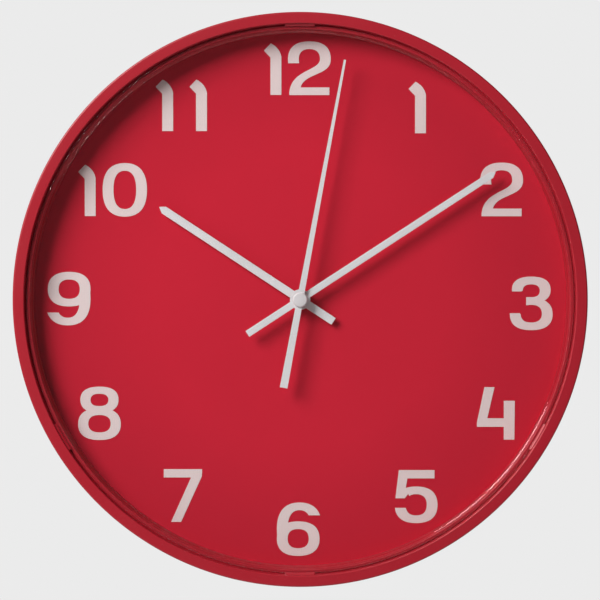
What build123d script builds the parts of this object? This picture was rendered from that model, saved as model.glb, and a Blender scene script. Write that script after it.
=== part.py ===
"""Round quartz wall clock, 280 mm across, as separate pieces. Millimetres, +Z up.

The origin is on the axis of the hands, in the plane of the wall. The front of the clock faces -Y.
"h" is a height in front of the wall, and "depth" is measured from the movement's front face towards
the wall. Sketches are drawn as the front is seen: X to the right and Z up.
"""

from build123d import *
from math import atan2, cos, degrees, radians, sin, tan
import os

os.makedirs("parts", exist_ok=True)

# ---------------------------------------------------------------- driving dimensions
CASE_RADIUS = 140.0
CASE_DEPTH = 40.0
MOVEMENT_SIZE = 56.0

# case ring: radii and heights of its section
RIM_FACE_INNER = 134.5
RIM_ROUND = 0.9
RIM_INNER_ROUND = 0.4
LENS_POCKET_RADIUS = 134.0
LENS_SHELF_HEIGHT = 36.8
RELIEF_DEPTH = 0.9
RELIEF_WIDTH = 0.7
THROAT_RADIUS = 131.8
THROAT_REAR_RADIUS = 131.2
INNER_WALL_RADIUS = 132.8
GROOVE_FLOOR_HEIGHT = 34.4
OUTER_WALL = 1.8
REAR_OUTER_RADIUS = 138.2

# dial, carrier plate and lens
DIAL_HEIGHT = 24.2
DIAL_THICKNESS = 0.8
DIAL_RADIUS = 132.6
INK_THICKNESS = 0.15
CARRIER_THICKNESS = 2.2
CARRIER_RADIUS = 137.2
CENTRE_HOLE = 4.1
LENS_RADIUS = 133.7
LENS_FLANGE = 0.8
LENS_WINDOW = 1.2
LENS_BEAD = 1.6
BEAD_OUTER_RADIUS = 132.8
BEAD_INNER_RADIUS = 130.8
BEAD_FOOT_RADIUS = 129.3

# screws between the carrier plate and the case ring
SCREW_COUNT = 6
SCREW_CIRCLE = 135.0
SCREW_SHANK = 1.0
SCREW_HEAD = 2.1
SCREW_HEAD_HEIGHT = 1.8
SCREW_LENGTH = 8.0
SCREW_CLEARANCE = 0.2
CROSS_LENGTH = 2.4
CROSS_WIDTH = 0.5
CROSS_DEPTH = 1.0
BOSS_RADIUS = 2.0

# snap tabs that hold the lens down
TAB_HOURS = (12, 4, 6, 8)
TAB_LENGTH = 14.5
TAB_INNER_RADIUS = 133.1
TAB_THICKNESS = 0.9
TAB_LIFT = 0.1
TAB_SINK = 0.9
TAB_STOCK = 4.0

# hanger
KEYHOLE_HEIGHT = 100.0
KEYHOLE_RADIUS = 5.2
KEYHOLE_SLOT = 5.0
KEYHOLE_TRAVEL = 9.0
TOWER_HALF_WIDTH = 14.0
TOWER_BOTTOM = 92.0
TOWER_TOP = 118.0
TOWER_REAR = 0.8
TOWER_WALL = 2.0

# hands, as lengths from the axis
SHEET = 0.5
HUB_DISC = 5.0
HOUR_ANGLE = 303.3
HOUR_LENGTH = 82.7
HOUR_TAIL = 19.6
HOUR_WIDTH = 3.9
HOUR_HEIGHT = 27.9
MINUTE_ANGLE = 56.9
MINUTE_LENGTH = 114.0
MINUTE_TAIL = 30.8
MINUTE_WIDTH = 3.4
MINUTE_HEIGHT = 31.2
POINT_HALF_ANGLE = 34.5
SECOND_ANGLE = 10.6
SECOND_LENGTH = 119.0
SECOND_TAIL = 43.8
SECOND_TIP_WIDTH = 1.1
SECOND_TAIL_WIDTH = 3.8
SECOND_HEIGHT = 33.6
SECOND_SHEET = 0.4
CAP_RADIUS = 3.65
CAP_THICKNESS = 1.6
CAP_ROUND = 0.7
CAP_TUBE_WALL = 0.6
CAP_TUBE_REAR = 32.4
CAP_ROOF = 1.0
COLLET_WALL = 1.0
HOUR_COLLET_REAR = 26.7
MINUTE_COLLET_REAR = 29.6

# movement: housing
MOVEMENT_FRONT = DIAL_HEIGHT - CARRIER_THICKNESS
HALF = MOVEMENT_SIZE / 2
CASE_WALL = 1.2
CORNER_ROUND = 2.0
INNER_ROUND = 0.8
COVER_ROUND = 1.0
FRONT_PLATE = 1.4
CASE_REAR = 13.0
COVER_REAR = 14.6
BAY_TOP = -12.2
DIVIDER = 1.0
STRIP_GAP = 1.0
BOSS_BORE = 2.6
BOSS_OUTER = 3.9
BOSS_HEIGHT = 4.2
BRIDGE_FRONT = 11.9
BRIDGE_REAR = 12.7
POST_RADIUS = 1.0
POSTS = [(-22.0, -8.5), (22.0, -8.5), (-15.6, 12.0), (15.6, 12.0)]

# movement: shafts and the clearance they run in
FIT = 0.05
PIVOT = 0.5
PIVOT_START = 0.7
PIVOT_END = 12.6
SECONDS_ARBOR = 0.5
MINUTE_TUBE_BORE = 0.6
MINUTE_TUBE = 1.6
HOUR_TUBE = 2.5
MINUTE_ARBOR = 1.0

# gear train: axes, modules and tooth form (tooth sizes are in modules)
CENTRE = (0.0, 0.0)
THIRD = (-10.2, 0.0)
MINUTE_AXIS = (11.5, 0.0)
INTERMEDIATE = (0.0, 10.5)
ROTOR = (-3.0, 15.7)
ROTOR_MODULE = 0.25
TRAIN_MODULE = 0.3
CENTRE_MODULE = 2 * 10.2 / (8 + 64)
CANNON_MODULE = 2 * 11.5 / (10 + 40)
HOUR_MODULE = 2 * 11.5 / (12 + 36)
TOOTH_DEDENDUM = 1.25
TOOTH_ADDENDUM = 0.7
TOOTH_ROOT_HALF = 0.78
TOOTH_TIP_HALF = 0.35
TOOTH_SINK = 0.3

# battery, AA size
CELL_RADIUS = 7.1
CELL_Z = -19.5
CELL_HEIGHT = 13.3
CELL_LEFT = -24.6
CELL_RIGHT = 24.9
CELL_NUB = 1.0
CELL_NUB_RADIUS = 2.7
CELL_ROUND = 0.5
NUB_ROUND = 0.3

# contact strips
STRIP = 0.4
STRIP_FACE = 26.0
STRIP_REAR = 11.0
STRIP_WIDTH = 4.0


def at(height):
    """Sketch plane at a height in front of the wall."""
    return Plane.XZ.offset(height)


def deep(depth):
    """Sketch plane at a depth behind the movement's front face."""
    return at(MOVEMENT_FRONT - depth)


def save(part, name):
    """Label a finished piece and write it as its own STEP file."""
    part.label = name
    export_step(part, f"parts/{name}.step")


# ---------------------------------------------------------------- case ring
with BuildPart() as case_ring:
    with BuildSketch(Plane.XY):
        with BuildLine():
            Polyline(
                (REAR_OUTER_RADIUS, 0),
                (CASE_RADIUS, -(CASE_DEPTH - RIM_ROUND)),
            )
            RadiusArc(
                (CASE_RADIUS, -(CASE_DEPTH - RIM_ROUND)),
                (CASE_RADIUS - RIM_ROUND, -CASE_DEPTH),
                RIM_ROUND,
            )
            Line((CASE_RADIUS - RIM_ROUND, -CASE_DEPTH), (RIM_FACE_INNER, -CASE_DEPTH))
            Polyline(
                (RIM_FACE_INNER, -CASE_DEPTH),
                (LENS_POCKET_RADIUS, -(LENS_SHELF_HEIGHT - RELIEF_DEPTH)),
                (LENS_POCKET_RADIUS - RELIEF_WIDTH, -(LENS_SHELF_HEIGHT - RELIEF_DEPTH)),
                (LENS_POCKET_RADIUS - RELIEF_WIDTH, -LENS_SHELF_HEIGHT),
                (THROAT_RADIUS, -LENS_SHELF_HEIGHT),
                (THROAT_REAR_RADIUS, -(DIAL_HEIGHT + DIAL_THICKNESS)),
                (INNER_WALL_RADIUS, -(DIAL_HEIGHT + DIAL_THICKNESS)),
                (INNER_WALL_RADIUS, -GROOVE_FLOOR_HEIGHT),
                (REAR_OUTER_RADIUS, -GROOVE_FLOOR_HEIGHT),
                (REAR_OUTER_RADIUS - OUTER_WALL, 0),
                (REAR_OUTER_RADIUS, 0),
            )
        make_face()
    revolve(axis=Axis.Y)
    front_circles = case_ring.edges().filter_by(GeomType.CIRCLE).group_by(Axis.Y)[0]
    fillet(front_circles.sort_by(SortBy.RADIUS)[0], RIM_INNER_ROUND)
    # screw bosses stand in the cored groove between the two walls
    with BuildSketch(at(DIAL_HEIGHT)):
        with PolarLocations(SCREW_CIRCLE, SCREW_COUNT):
            Circle(BOSS_RADIUS)
    extrude(amount=GROOVE_FLOOR_HEIGHT - DIAL_HEIGHT)
    with BuildSketch(at(DIAL_HEIGHT)):
        with PolarLocations(SCREW_CIRCLE, SCREW_COUNT):
            Circle(SCREW_SHANK + FIT)
    extrude(amount=SCREW_LENGTH, mode=Mode.SUBTRACT)
    # snap tabs reach over the edge of the lens
    with BuildSketch(at(LENS_SHELF_HEIGHT + LENS_FLANGE + TAB_LIFT)):
        for hour in TAB_HOURS:
            with PolarLocations(TAB_INNER_RADIUS, 1, start_angle=90 - 30 * hour):
                Rectangle(TAB_STOCK, TAB_LENGTH)
        Circle(LENS_POCKET_RADIUS + TAB_SINK, mode=Mode.INTERSECT)
        Circle(TAB_INNER_RADIUS, mode=Mode.SUBTRACT)
    extrude(amount=TAB_THICKNESS)
save(case_ring.part, "case_ring")

# ---------------------------------------------------------------- lens
LENS_BACK = -LENS_SHELF_HEIGHT
with BuildPart() as lens:
    with BuildSketch(Plane.XY):
        with BuildLine():
            Polyline(
                (0, LENS_BACK),
                (LENS_RADIUS, LENS_BACK),
                (LENS_RADIUS, LENS_BACK - LENS_FLANGE),
                (BEAD_OUTER_RADIUS, LENS_BACK - LENS_FLANGE),
                (BEAD_OUTER_RADIUS, LENS_BACK - LENS_BEAD),
                (BEAD_INNER_RADIUS, LENS_BACK - LENS_BEAD),
                (BEAD_FOOT_RADIUS, LENS_BACK - LENS_WINDOW),
                (0, LENS_BACK - LENS_WINDOW),
                (0, LENS_BACK),
            )
        make_face()
    revolve(axis=Axis.Y)
save(lens.part, "lens")

# ---------------------------------------------------------------- dial
with BuildPart() as dial:
    with BuildSketch(at(DIAL_HEIGHT)):
        Circle(DIAL_RADIUS)
        Circle(CENTRE_HOLE, mode=Mode.SUBTRACT)
    extrude(amount=DIAL_THICKNESS)
save(dial.part, "dial")


# ---------------------------------------------------------------- numerals
# Each figure is drawn from its own lower left corner. Upright strokes are STEM wide, level strokes BAR.
STEM = 5.3
BAR = 3.75
FIGURE_WIDTH = 21.0
FIGURE_HEIGHT = 26.3
FULLNESS = 0.66


def bowl(left, bottom, width, height, mode=Mode.ADD):
    """A squarish oval, four equal curves with level and upright tangents."""
    x, z = width / 2, height / 2
    with BuildSketch(mode=Mode.PRIVATE) as oval:
        with BuildLine():
            for a, b in ((1, 1), (-1, 1), (-1, -1), (1, -1)):
                side, end = (a * x, 0), (0, b * z)
                Bezier(side, (a * x, FULLNESS * b * z), (FULLNESS * a * x, b * z), end)
        make_face()
    with Locations((left + x, bottom + z)):
        add(oval.sketch, mode=mode)


def ring(left, bottom, width, height):
    """A bowl with its counter cut out."""
    bowl(left, bottom, width, height)
    bowl(left + STEM, bottom + BAR, width - 2 * STEM, height - 2 * BAR, mode=Mode.SUBTRACT)


def cut(left, bottom, right, top):
    """Cut a rectangle out of a figure."""
    with Locations(((left + right) / 2, (bottom + top) / 2)):
        Rectangle(right - left, top - bottom, mode=Mode.SUBTRACT)


with BuildSketch() as figure_0:
    ring(0, 0, FIGURE_WIDTH + 0.8, FIGURE_HEIGHT)

with BuildSketch() as figure_1:
    with BuildLine():
        Polyline((3.2, 18.3), (3.2, 0), (8.55, 0), (8.55, 18.8))
        ThreePointArc((8.55, 18.8), (7.0, 22.3), (3.4, 25.2))
        Line((3.4, 25.2), (0, 21.7))
        Line((0, 21.7), (3.2, 18.3))
    make_face()

with BuildSketch() as figure_2:
    ring(0, FIGURE_HEIGHT - 17.6, FIGURE_WIDTH, 17.6)
    cut(-1, 0, FIGURE_WIDTH / 2, 15.6)
    cut(FIGURE_WIDTH / 2 - 1, 0, FIGURE_WIDTH + 1, FIGURE_HEIGHT - 8.8)
    with BuildLine():
        Polyline((0.6, 0), (20.3, 0), (20.3, BAR), (6.2, BAR))
        Bezier((6.2, BAR), (8.0, 11.0), (FIGURE_WIDTH, 9.4), (FIGURE_WIDTH, FIGURE_HEIGHT - 8.8))
        Line((FIGURE_WIDTH, FIGURE_HEIGHT - 8.8), (FIGURE_WIDTH - STEM, FIGURE_HEIGHT - 8.8))
        Bezier((FIGURE_WIDTH - STEM, FIGURE_HEIGHT - 8.8), (15.4, 11.6), (0.6, 12.6), (0.6, 0))
    make_face()

with BuildSketch() as figure_3:
    bowl(1.0, 13.3, 19.0, 13.0)
    bowl(0, 0, FIGURE_WIDTH, 15.7)
    with Locations((12.0, 14.4)):
        Rectangle(7.0, 5.0)
    bowl(1.0 + STEM, 16.2, 19.0 - 2 * STEM, 6.3, mode=Mode.SUBTRACT)
    bowl(STEM, BAR, FIGURE_WIDTH - 2 * STEM, 8.7, mode=Mode.SUBTRACT)
    cut(-1, 8.3, 8.0, 19.0)
    cut(5.0, 7.9, 9.5, 12.2)
    cut(5.8, 16.2, 9.5, 19.3)

with BuildSketch() as figure_4:
    with BuildLine():
        Polyline((3.7, 25.8), (8.6, 25.8), (5.1, 10.5), (13.2, 10.5), (13.2, 19.1), (18.6, 19.1))
        Polyline((18.6, 19.1), (18.4, 0), (13.2, 0), (13.2, 6.3), (0, 6.3), (0, 8.4), (3.7, 25.8))
    make_face()

with BuildSketch() as figure_5:
    ring(0, 0, FIGURE_WIDTH, 18.0)
    cut(-1, 7.5, 7.0, 12.2)
    cut(-1, 12.0, 5.2, 19.0)
    Polygon((5.1, 12.2), (7.6, 12.2), (6.6, 14.4), (5.2, 14.4), align=None, mode=Mode.SUBTRACT)
    with BuildLine():
        Polyline((2.0, 26.1), (19.5, 26.1), (19.5, 22.0), (6.2, 22.0), (5.2, 16.4), (6.6, 14.4))
        Polyline((6.6, 14.4), (4.9, 12.2), (0.3, 12.2), (2.0, 26.1))
    make_face()

with BuildSketch() as figure_6:
    ring(0, 0, FIGURE_WIDTH + 1.4, FIGURE_HEIGHT)
    cut(FIGURE_WIDTH / 2 + 2, 0, FIGURE_WIDTH + 2, 20.0)
    ring(0, 0, FIGURE_WIDTH, 17.0)

with BuildSketch() as figure_7:
    with BuildLine():
        Polyline((0, 26), (18.9, 26), (18.7, 22.4), (8.5, 0), (3.6, 0), (13.4, 21.9), (0, 21.9), (0, 26))
    make_face()

with BuildSketch() as figure_8:
    bowl(1.1, 13.4, FIGURE_WIDTH - 2.2, 12.9)
    bowl(0, 0, FIGURE_WIDTH, 15.7)
    bowl(1.1 + STEM - 0.3, 16.7, FIGURE_WIDTH - 2 * STEM - 1.6, 6.1, mode=Mode.SUBTRACT)
    bowl(STEM - 0.3, BAR, FIGURE_WIDTH - 2 * STEM + 0.6, 8.6, mode=Mode.SUBTRACT)

with BuildSketch() as figure_9:
    with Locations((FIGURE_WIDTH, FIGURE_HEIGHT)):
        add(figure_6.sketch, rotation=180)

FIGURES = [
    figure_0, figure_1, figure_2, figure_3, figure_4,
    figure_5, figure_6, figure_7, figure_8, figure_9,
]

# figure, and where its lower left corner stands on the dial
PLACES = [
    (1, -17.8, 100.3), (2, -6.0, 100.2),
    (1, 53.1, 81.5),
    (2, 88.3, 40.8),
    (3, 102.9, -15.1),
    (4, 86.8, -68.9),
    (5, 46.5, -110.0),
    (6, -11.5, -126.2),
    (7, -67.1, -109.5),
    (8, -109.2, -69.2),
    (9, -124.0, -12.8),
    (1, -109.0, 40.9), (0, -97.0, 40.6),
    (1, -70.9, 82.6), (1, -54.3, 82.6),
]

with BuildPart() as numerals:
    with BuildSketch(at(DIAL_HEIGHT + DIAL_THICKNESS)):
        for figure, left, bottom in PLACES:
            with Locations((left, bottom)):
                add(FIGURES[figure].sketch)
    extrude(amount=INK_THICKNESS)
save(numerals.part, "numerals")

# ---------------------------------------------------------------- carrier plate
RIB = 1.5
RIB_REAR = 18.0
RIB_RINGS = [(120.5, 122.0), (46.0, 47.5)]
SPOKE_COUNT = 8
SPOKE_START = 47.0
SPOKE_END = 121.0
FRAME_GAP = 0.4
FRAME_REAR = 16.0
CLIP_WIDTH = 7.0
CLIP_REAR = 6.0
CLIP_HOOK = 1.3
CLIP_ROWS = (-6.0, 18.0)

with BuildPart() as carrier_plate:
    with BuildSketch(at(MOVEMENT_FRONT)):
        Circle(CARRIER_RADIUS)
        Circle(CENTRE_HOLE, mode=Mode.SUBTRACT)
        with PolarLocations(SCREW_CIRCLE, SCREW_COUNT):
            Circle(SCREW_SHANK + SCREW_CLEARANCE, mode=Mode.SUBTRACT)
    extrude(amount=CARRIER_THICKNESS)
    # stiffening rings and spokes
    with BuildSketch(at(RIB_REAR)):
        for inner, outer in RIB_RINGS:
            Circle(outer)
            Circle(inner, mode=Mode.SUBTRACT)
        with PolarLocations((SPOKE_START + SPOKE_END) / 2, SPOKE_COUNT, start_angle=180 / SPOKE_COUNT):
            Rectangle(SPOKE_END - SPOKE_START, RIB)
    extrude(amount=MOVEMENT_FRONT - RIB_REAR)
    # square frame round the movement
    with BuildSketch(at(FRAME_REAR)):
        Rectangle(MOVEMENT_SIZE + 2 * (FRAME_GAP + RIB), MOVEMENT_SIZE + 2 * (FRAME_GAP + RIB))
        Rectangle(MOVEMENT_SIZE + 2 * FRAME_GAP, MOVEMENT_SIZE + 2 * FRAME_GAP, mode=Mode.SUBTRACT)
    extrude(amount=MOVEMENT_FRONT - FRAME_REAR)
    # four clips, each a flat leg with a hook over the movement's rear cover
    for side in (-1, 1):
        for row in CLIP_ROWS:
            with BuildSketch(at(CLIP_REAR)):
                with Locations((side * (HALF + FRAME_GAP + RIB / 2), row)):
                    Rectangle(RIB, CLIP_WIDTH)
            extrude(amount=MOVEMENT_FRONT - CLIP_REAR)
            with BuildSketch(at(CLIP_REAR)):
                with Locations((side * (HALF + FRAME_GAP - CLIP_HOOK / 2), row)):
                    Rectangle(CLIP_HOOK, CLIP_WIDTH)
            extrude(amount=CLIP_HOOK)
    # hanger tower: a bridge that is open at its lower end
    with BuildSketch(at(TOWER_REAR)):
        with Locations((0, (TOWER_BOTTOM + TOWER_TOP) / 2)):
            Rectangle(2 * TOWER_HALF_WIDTH, TOWER_TOP - TOWER_BOTTOM)
    extrude(amount=MOVEMENT_FRONT - TOWER_REAR)
    with BuildSketch(at(TOWER_REAR + TOWER_WALL)):
        with Locations((0, (TOWER_BOTTOM + TOWER_TOP) / 2 - TOWER_WALL)):
            Rectangle(2 * (TOWER_HALF_WIDTH - TOWER_WALL), TOWER_TOP - TOWER_BOTTOM)
    extrude(amount=MOVEMENT_FRONT - TOWER_REAR - TOWER_WALL, mode=Mode.SUBTRACT)
    # keyhole, entry below and slot above
    with BuildSketch(at(TOWER_REAR)):
        with Locations((0, KEYHOLE_HEIGHT)):
            Circle(KEYHOLE_RADIUS)
        with Locations((0, KEYHOLE_HEIGHT + KEYHOLE_TRAVEL / 2)):
            Rectangle(KEYHOLE_SLOT, KEYHOLE_TRAVEL)
        with Locations((0, KEYHOLE_HEIGHT + KEYHOLE_TRAVEL)):
            Circle(KEYHOLE_SLOT / 2)
    extrude(amount=TOWER_WALL, mode=Mode.SUBTRACT)
save(carrier_plate.part, "carrier_plate")

# ---------------------------------------------------------------- case screws
with BuildPart() as case_screws:
    with BuildSketch(at(MOVEMENT_FRONT)):
        with PolarLocations(SCREW_CIRCLE, SCREW_COUNT):
            Circle(SCREW_SHANK)
    extrude(amount=SCREW_LENGTH)
    with BuildSketch(at(MOVEMENT_FRONT - SCREW_HEAD_HEIGHT)):
        with PolarLocations(SCREW_CIRCLE, SCREW_COUNT):
            Circle(SCREW_HEAD)
    extrude(amount=SCREW_HEAD_HEIGHT)
    # cross recess in each head
    with BuildSketch(at(MOVEMENT_FRONT - SCREW_HEAD_HEIGHT)):
        with PolarLocations(SCREW_CIRCLE, SCREW_COUNT):
            Rectangle(CROSS_LENGTH, CROSS_WIDTH)
            Rectangle(CROSS_WIDTH, CROSS_LENGTH)
    extrude(amount=CROSS_DEPTH, mode=Mode.SUBTRACT)
save(case_screws.part, "case_screws")


# ---------------------------------------------------------------- hands
def hand_plane(height, clock_angle):
    """Sketch plane whose upright axis lies along a hand."""
    turn = radians(clock_angle)
    return Plane(origin=(0, -height, 0), x_dir=(cos(turn), 0, -sin(turn)), z_dir=(0, -1, 0))


def pointed_hand(length, tail, width, bore):
    """Outline of a straight hand with a pointed tip, a square tail and a hub disc."""
    half = width / 2
    shoulder = length - half / tan(radians(POINT_HALF_ANGLE))
    Polygon(
        (-half, -tail), (half, -tail), (half, shoulder), (0, length), (-half, shoulder), align=None
    )
    Circle(HUB_DISC)
    Circle(bore, mode=Mode.SUBTRACT)


with BuildPart() as hour_hand:
    with BuildSketch(hand_plane(HOUR_HEIGHT, HOUR_ANGLE)):
        pointed_hand(HOUR_LENGTH, HOUR_TAIL, HOUR_WIDTH, HOUR_TUBE)
    extrude(amount=SHEET)
save(hour_hand.part, "hour_hand")

with BuildPart() as minute_hand:
    with BuildSketch(hand_plane(MINUTE_HEIGHT, MINUTE_ANGLE)):
        pointed_hand(MINUTE_LENGTH, MINUTE_TAIL, MINUTE_WIDTH, MINUTE_TUBE)
    extrude(amount=SHEET)
save(minute_hand.part, "minute_hand")

with BuildPart() as second_hand:
    with BuildSketch(hand_plane(SECOND_HEIGHT, SECOND_ANGLE)):
        with BuildLine():
            Polyline(
                (-SECOND_TAIL_WIDTH / 2, -SECOND_TAIL), (SECOND_TAIL_WIDTH / 2, -SECOND_TAIL),
                (SECOND_TIP_WIDTH / 2, SECOND_LENGTH), (-SECOND_TIP_WIDTH / 2, SECOND_LENGTH),
                (-SECOND_TAIL_WIDTH / 2, -SECOND_TAIL),
            )
        make_face()
        Circle(SECONDS_ARBOR + CAP_TUBE_WALL, mode=Mode.SUBTRACT)
    extrude(amount=SECOND_SHEET)
save(second_hand.part, "second_hand")

CAP_FRONT = SECOND_HEIGHT + SECOND_SHEET + CAP_THICKNESS
with BuildPart() as second_hand_cap:
    with BuildSketch(at(SECOND_HEIGHT + SECOND_SHEET)):
        Circle(CAP_RADIUS)
    extrude(amount=CAP_THICKNESS)
    cap_edge = second_hand_cap.edges().filter_by(GeomType.CIRCLE).sort_by(Axis.Y)[0]
    fillet(cap_edge, CAP_ROUND)
    with BuildSketch(at(CAP_TUBE_REAR)):
        Circle(SECONDS_ARBOR + CAP_TUBE_WALL)
    extrude(amount=SECOND_HEIGHT + SECOND_SHEET - CAP_TUBE_REAR)
    with BuildSketch(at(CAP_TUBE_REAR)):
        Circle(SECONDS_ARBOR)
    extrude(amount=CAP_FRONT - CAP_ROOF - CAP_TUBE_REAR, mode=Mode.SUBTRACT)
save(second_hand_cap.part, "second_hand_cap")

with BuildPart() as hour_hand_collet:
    with BuildSketch(at(HOUR_COLLET_REAR)):
        Circle(HOUR_TUBE + COLLET_WALL)
        Circle(HOUR_TUBE, mode=Mode.SUBTRACT)
    extrude(amount=HOUR_HEIGHT - HOUR_COLLET_REAR)
save(hour_hand_collet.part, "hour_hand_collet")

with BuildPart() as minute_hand_collet:
    with BuildSketch(at(MINUTE_COLLET_REAR)):
        Circle(MINUTE_TUBE + COLLET_WALL)
        Circle(MINUTE_TUBE, mode=Mode.SUBTRACT)
    extrude(amount=MINUTE_HEIGHT - MINUTE_COLLET_REAR)
save(minute_hand_collet.part, "minute_hand_collet")

# ---------------------------------------------------------------- movement housing
BOARD_POSTS = [(-21.5, 7.0), (-21.5, 23.0)]
BOARD_FRONT = 8.6
BEARINGS = [THIRD, INTERMEDIATE, ROTOR, MINUTE_AXIS]
INNER_HALF = HALF - CASE_WALL

with BuildPart() as movement_case:
    with BuildSketch(deep(FRONT_PLATE)):
        RectangleRounded(MOVEMENT_SIZE, MOVEMENT_SIZE, CORNER_ROUND)
        Circle(BOSS_BORE, mode=Mode.SUBTRACT)
    extrude(amount=FRONT_PLATE)
    with BuildSketch(deep(CASE_REAR)):
        RectangleRounded(MOVEMENT_SIZE, MOVEMENT_SIZE, CORNER_ROUND)
        RectangleRounded(2 * INNER_HALF, 2 * INNER_HALF, INNER_ROUND, mode=Mode.SUBTRACT)
        with Locations((0, BAY_TOP + DIVIDER / 2)):
            Rectangle(2 * (INNER_HALF - STRIP_GAP), DIVIDER)
    extrude(amount=CASE_REAR - FRONT_PLATE)
    with BuildSketch(at(MOVEMENT_FRONT)):
        Circle(BOSS_OUTER)
        Circle(BOSS_BORE, mode=Mode.SUBTRACT)
    extrude(amount=BOSS_HEIGHT)
    with BuildSketch(deep(BRIDGE_FRONT)):
        with Locations(*POSTS):
            Circle(POST_RADIUS)
    extrude(amount=BRIDGE_FRONT - FRONT_PLATE)
    with BuildSketch(deep(BOARD_FRONT)):
        with Locations(*BOARD_POSTS):
            Circle(POST_RADIUS)
    extrude(amount=BOARD_FRONT - FRONT_PLATE)
    # blind bearings for the front pivots
    with BuildSketch(deep(FRONT_PLATE)):
        with Locations(*BEARINGS):
            Circle(PIVOT + FIT)
    extrude(amount=FRONT_PLATE - PIVOT_START + 2 * FIT, mode=Mode.SUBTRACT)
save(movement_case.part, "movement_case")

with BuildPart() as movement_cover:
    with BuildSketch(deep(COVER_REAR)):
        with Locations((0, (HALF + BAY_TOP) / 2)):
            RectangleRounded(MOVEMENT_SIZE, HALF - BAY_TOP, COVER_ROUND)
        with Locations(MINUTE_AXIS):
            Circle(MINUTE_ARBOR + FIT, mode=Mode.SUBTRACT)
    extrude(amount=COVER_REAR - CASE_REAR)
save(movement_cover.part, "movement_cover")

with BuildPart() as gear_bridge:
    with BuildSketch(deep(BRIDGE_REAR)):
        with Locations((0, -2.0)):
            RectangleRounded(47.0, 17.0, 2.0)
        with Locations((0, 6.5)):
            RectangleRounded(35.0, 25.0, 2.0)
        with Locations(THIRD, INTERMEDIATE, ROTOR, CENTRE):
            Circle(PIVOT + FIT, mode=Mode.SUBTRACT)
        with Locations(MINUTE_AXIS):
            Circle(MINUTE_ARBOR + FIT, mode=Mode.SUBTRACT)
    extrude(amount=BRIDGE_REAR - BRIDGE_FRONT)
save(gear_bridge.part, "gear_bridge")


# ---------------------------------------------------------------- gear train
def direction(start, end):
    """Direction from one axis to another, in degrees."""
    return degrees(atan2(end[1] - start[1], end[0] - start[0]))


def meshing_phase(pinion_teeth, wheel_teeth, angle):
    """Angle of a wheel's first tooth where its pinion's first tooth points along +X."""
    return angle + 180 - (180 - pinion_teeth * angle) / wheel_teeth


def gear(axis, teeth, module, front, rear, phase=0.0):
    """Add a gear between two depths: a root disc with straight tapered teeth."""
    root = module * (teeth / 2 - TOOTH_DEDENDUM)
    tip = module * (teeth / 2 + TOOTH_ADDENDUM)
    foot = root - TOOTH_SINK * module
    wide, narrow = TOOTH_ROOT_HALF * module, TOOTH_TIP_HALF * module
    with BuildSketch(deep(rear)) as outline:
        with Locations(axis):
            Circle(root)
            with PolarLocations(0, teeth, start_angle=phase):
                Polygon((foot, -wide), (tip, -narrow), (tip, narrow), (foot, wide), align=None)
    extrude(outline.sketch, amount=rear - front)


def rod(axis, radius, front, rear, mode=Mode.ADD):
    """Add or cut a round rod between two depths."""
    with BuildSketch(deep(rear)) as outline:
        with Locations(axis):
            Circle(radius)
    extrude(outline.sketch, amount=rear - front, mode=mode)


HOUR_TUBE_FRONT = MOVEMENT_FRONT - 28.8
MINUTE_TUBE_FRONT = MOVEMENT_FRONT - 31.9
SECONDS_FRONT = MOVEMENT_FRONT - 34.5
MINUTE_TUBE_REAR = 6.7

with BuildPart() as hour_wheel:
    gear(CENTRE, 36, HOUR_MODULE, 1.8, 2.8, meshing_phase(12, 36, direction(MINUTE_AXIS, CENTRE)))
    rod(CENTRE, HOUR_TUBE, HOUR_TUBE_FRONT, 2.8)
    rod(CENTRE, MINUTE_TUBE + FIT, HOUR_TUBE_FRONT, 2.8, mode=Mode.SUBTRACT)
save(hour_wheel.part, "hour_wheel")

with BuildPart() as minute_pinion:
    gear(CENTRE, 10, CANNON_MODULE, 3.4, 4.8)
    rod(CENTRE, MINUTE_TUBE, MINUTE_TUBE_FRONT, MINUTE_TUBE_REAR)
    rod(CENTRE, MINUTE_TUBE_BORE, MINUTE_TUBE_FRONT, MINUTE_TUBE_REAR, mode=Mode.SUBTRACT)
save(minute_pinion.part, "minute_pinion")

KNOB_REAR = MOVEMENT_FRONT - 3.4
KNOB_FRONT = MOVEMENT_FRONT - 7.0
KNOB_RADIUS = 5.5
KNOB_FLUTES = 20
FLUTE_RADIUS = 0.45
FLUTE_OFFSET = 0.15
ARBOR_REAR = KNOB_REAR - 1.0
with BuildPart() as minute_wheel:
    gear(MINUTE_AXIS, 40, CANNON_MODULE, 3.6, 4.6, meshing_phase(10, 40, direction(CENTRE, MINUTE_AXIS)))
    gear(MINUTE_AXIS, 12, HOUR_MODULE, 1.7, 3.6)
    rod(MINUTE_AXIS, PIVOT, PIVOT_START, 1.7)
    rod(MINUTE_AXIS, MINUTE_ARBOR, 4.6, ARBOR_REAR)
save(minute_wheel.part, "minute_wheel")

with BuildPart() as setting_knob:
    with BuildSketch(deep(KNOB_REAR)):
        with Locations(MINUTE_AXIS):
            Circle(KNOB_RADIUS)
            with PolarLocations(KNOB_RADIUS + FLUTE_OFFSET, KNOB_FLUTES):
                Circle(FLUTE_RADIUS, mode=Mode.SUBTRACT)
    extrude(amount=KNOB_REAR - KNOB_FRONT)
    rod(MINUTE_AXIS, MINUTE_ARBOR, KNOB_FRONT, ARBOR_REAR, mode=Mode.SUBTRACT)
save(setting_knob.part, "setting_knob")

with BuildPart() as centre_wheel:
    gear(CENTRE, 64, CENTRE_MODULE, 5.6, 6.4, meshing_phase(8, 64, direction(THIRD, CENTRE)))
    rod(CENTRE, MINUTE_TUBE + FIT, 5.6, 6.4, mode=Mode.SUBTRACT)
save(centre_wheel.part, "centre_wheel")

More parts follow.
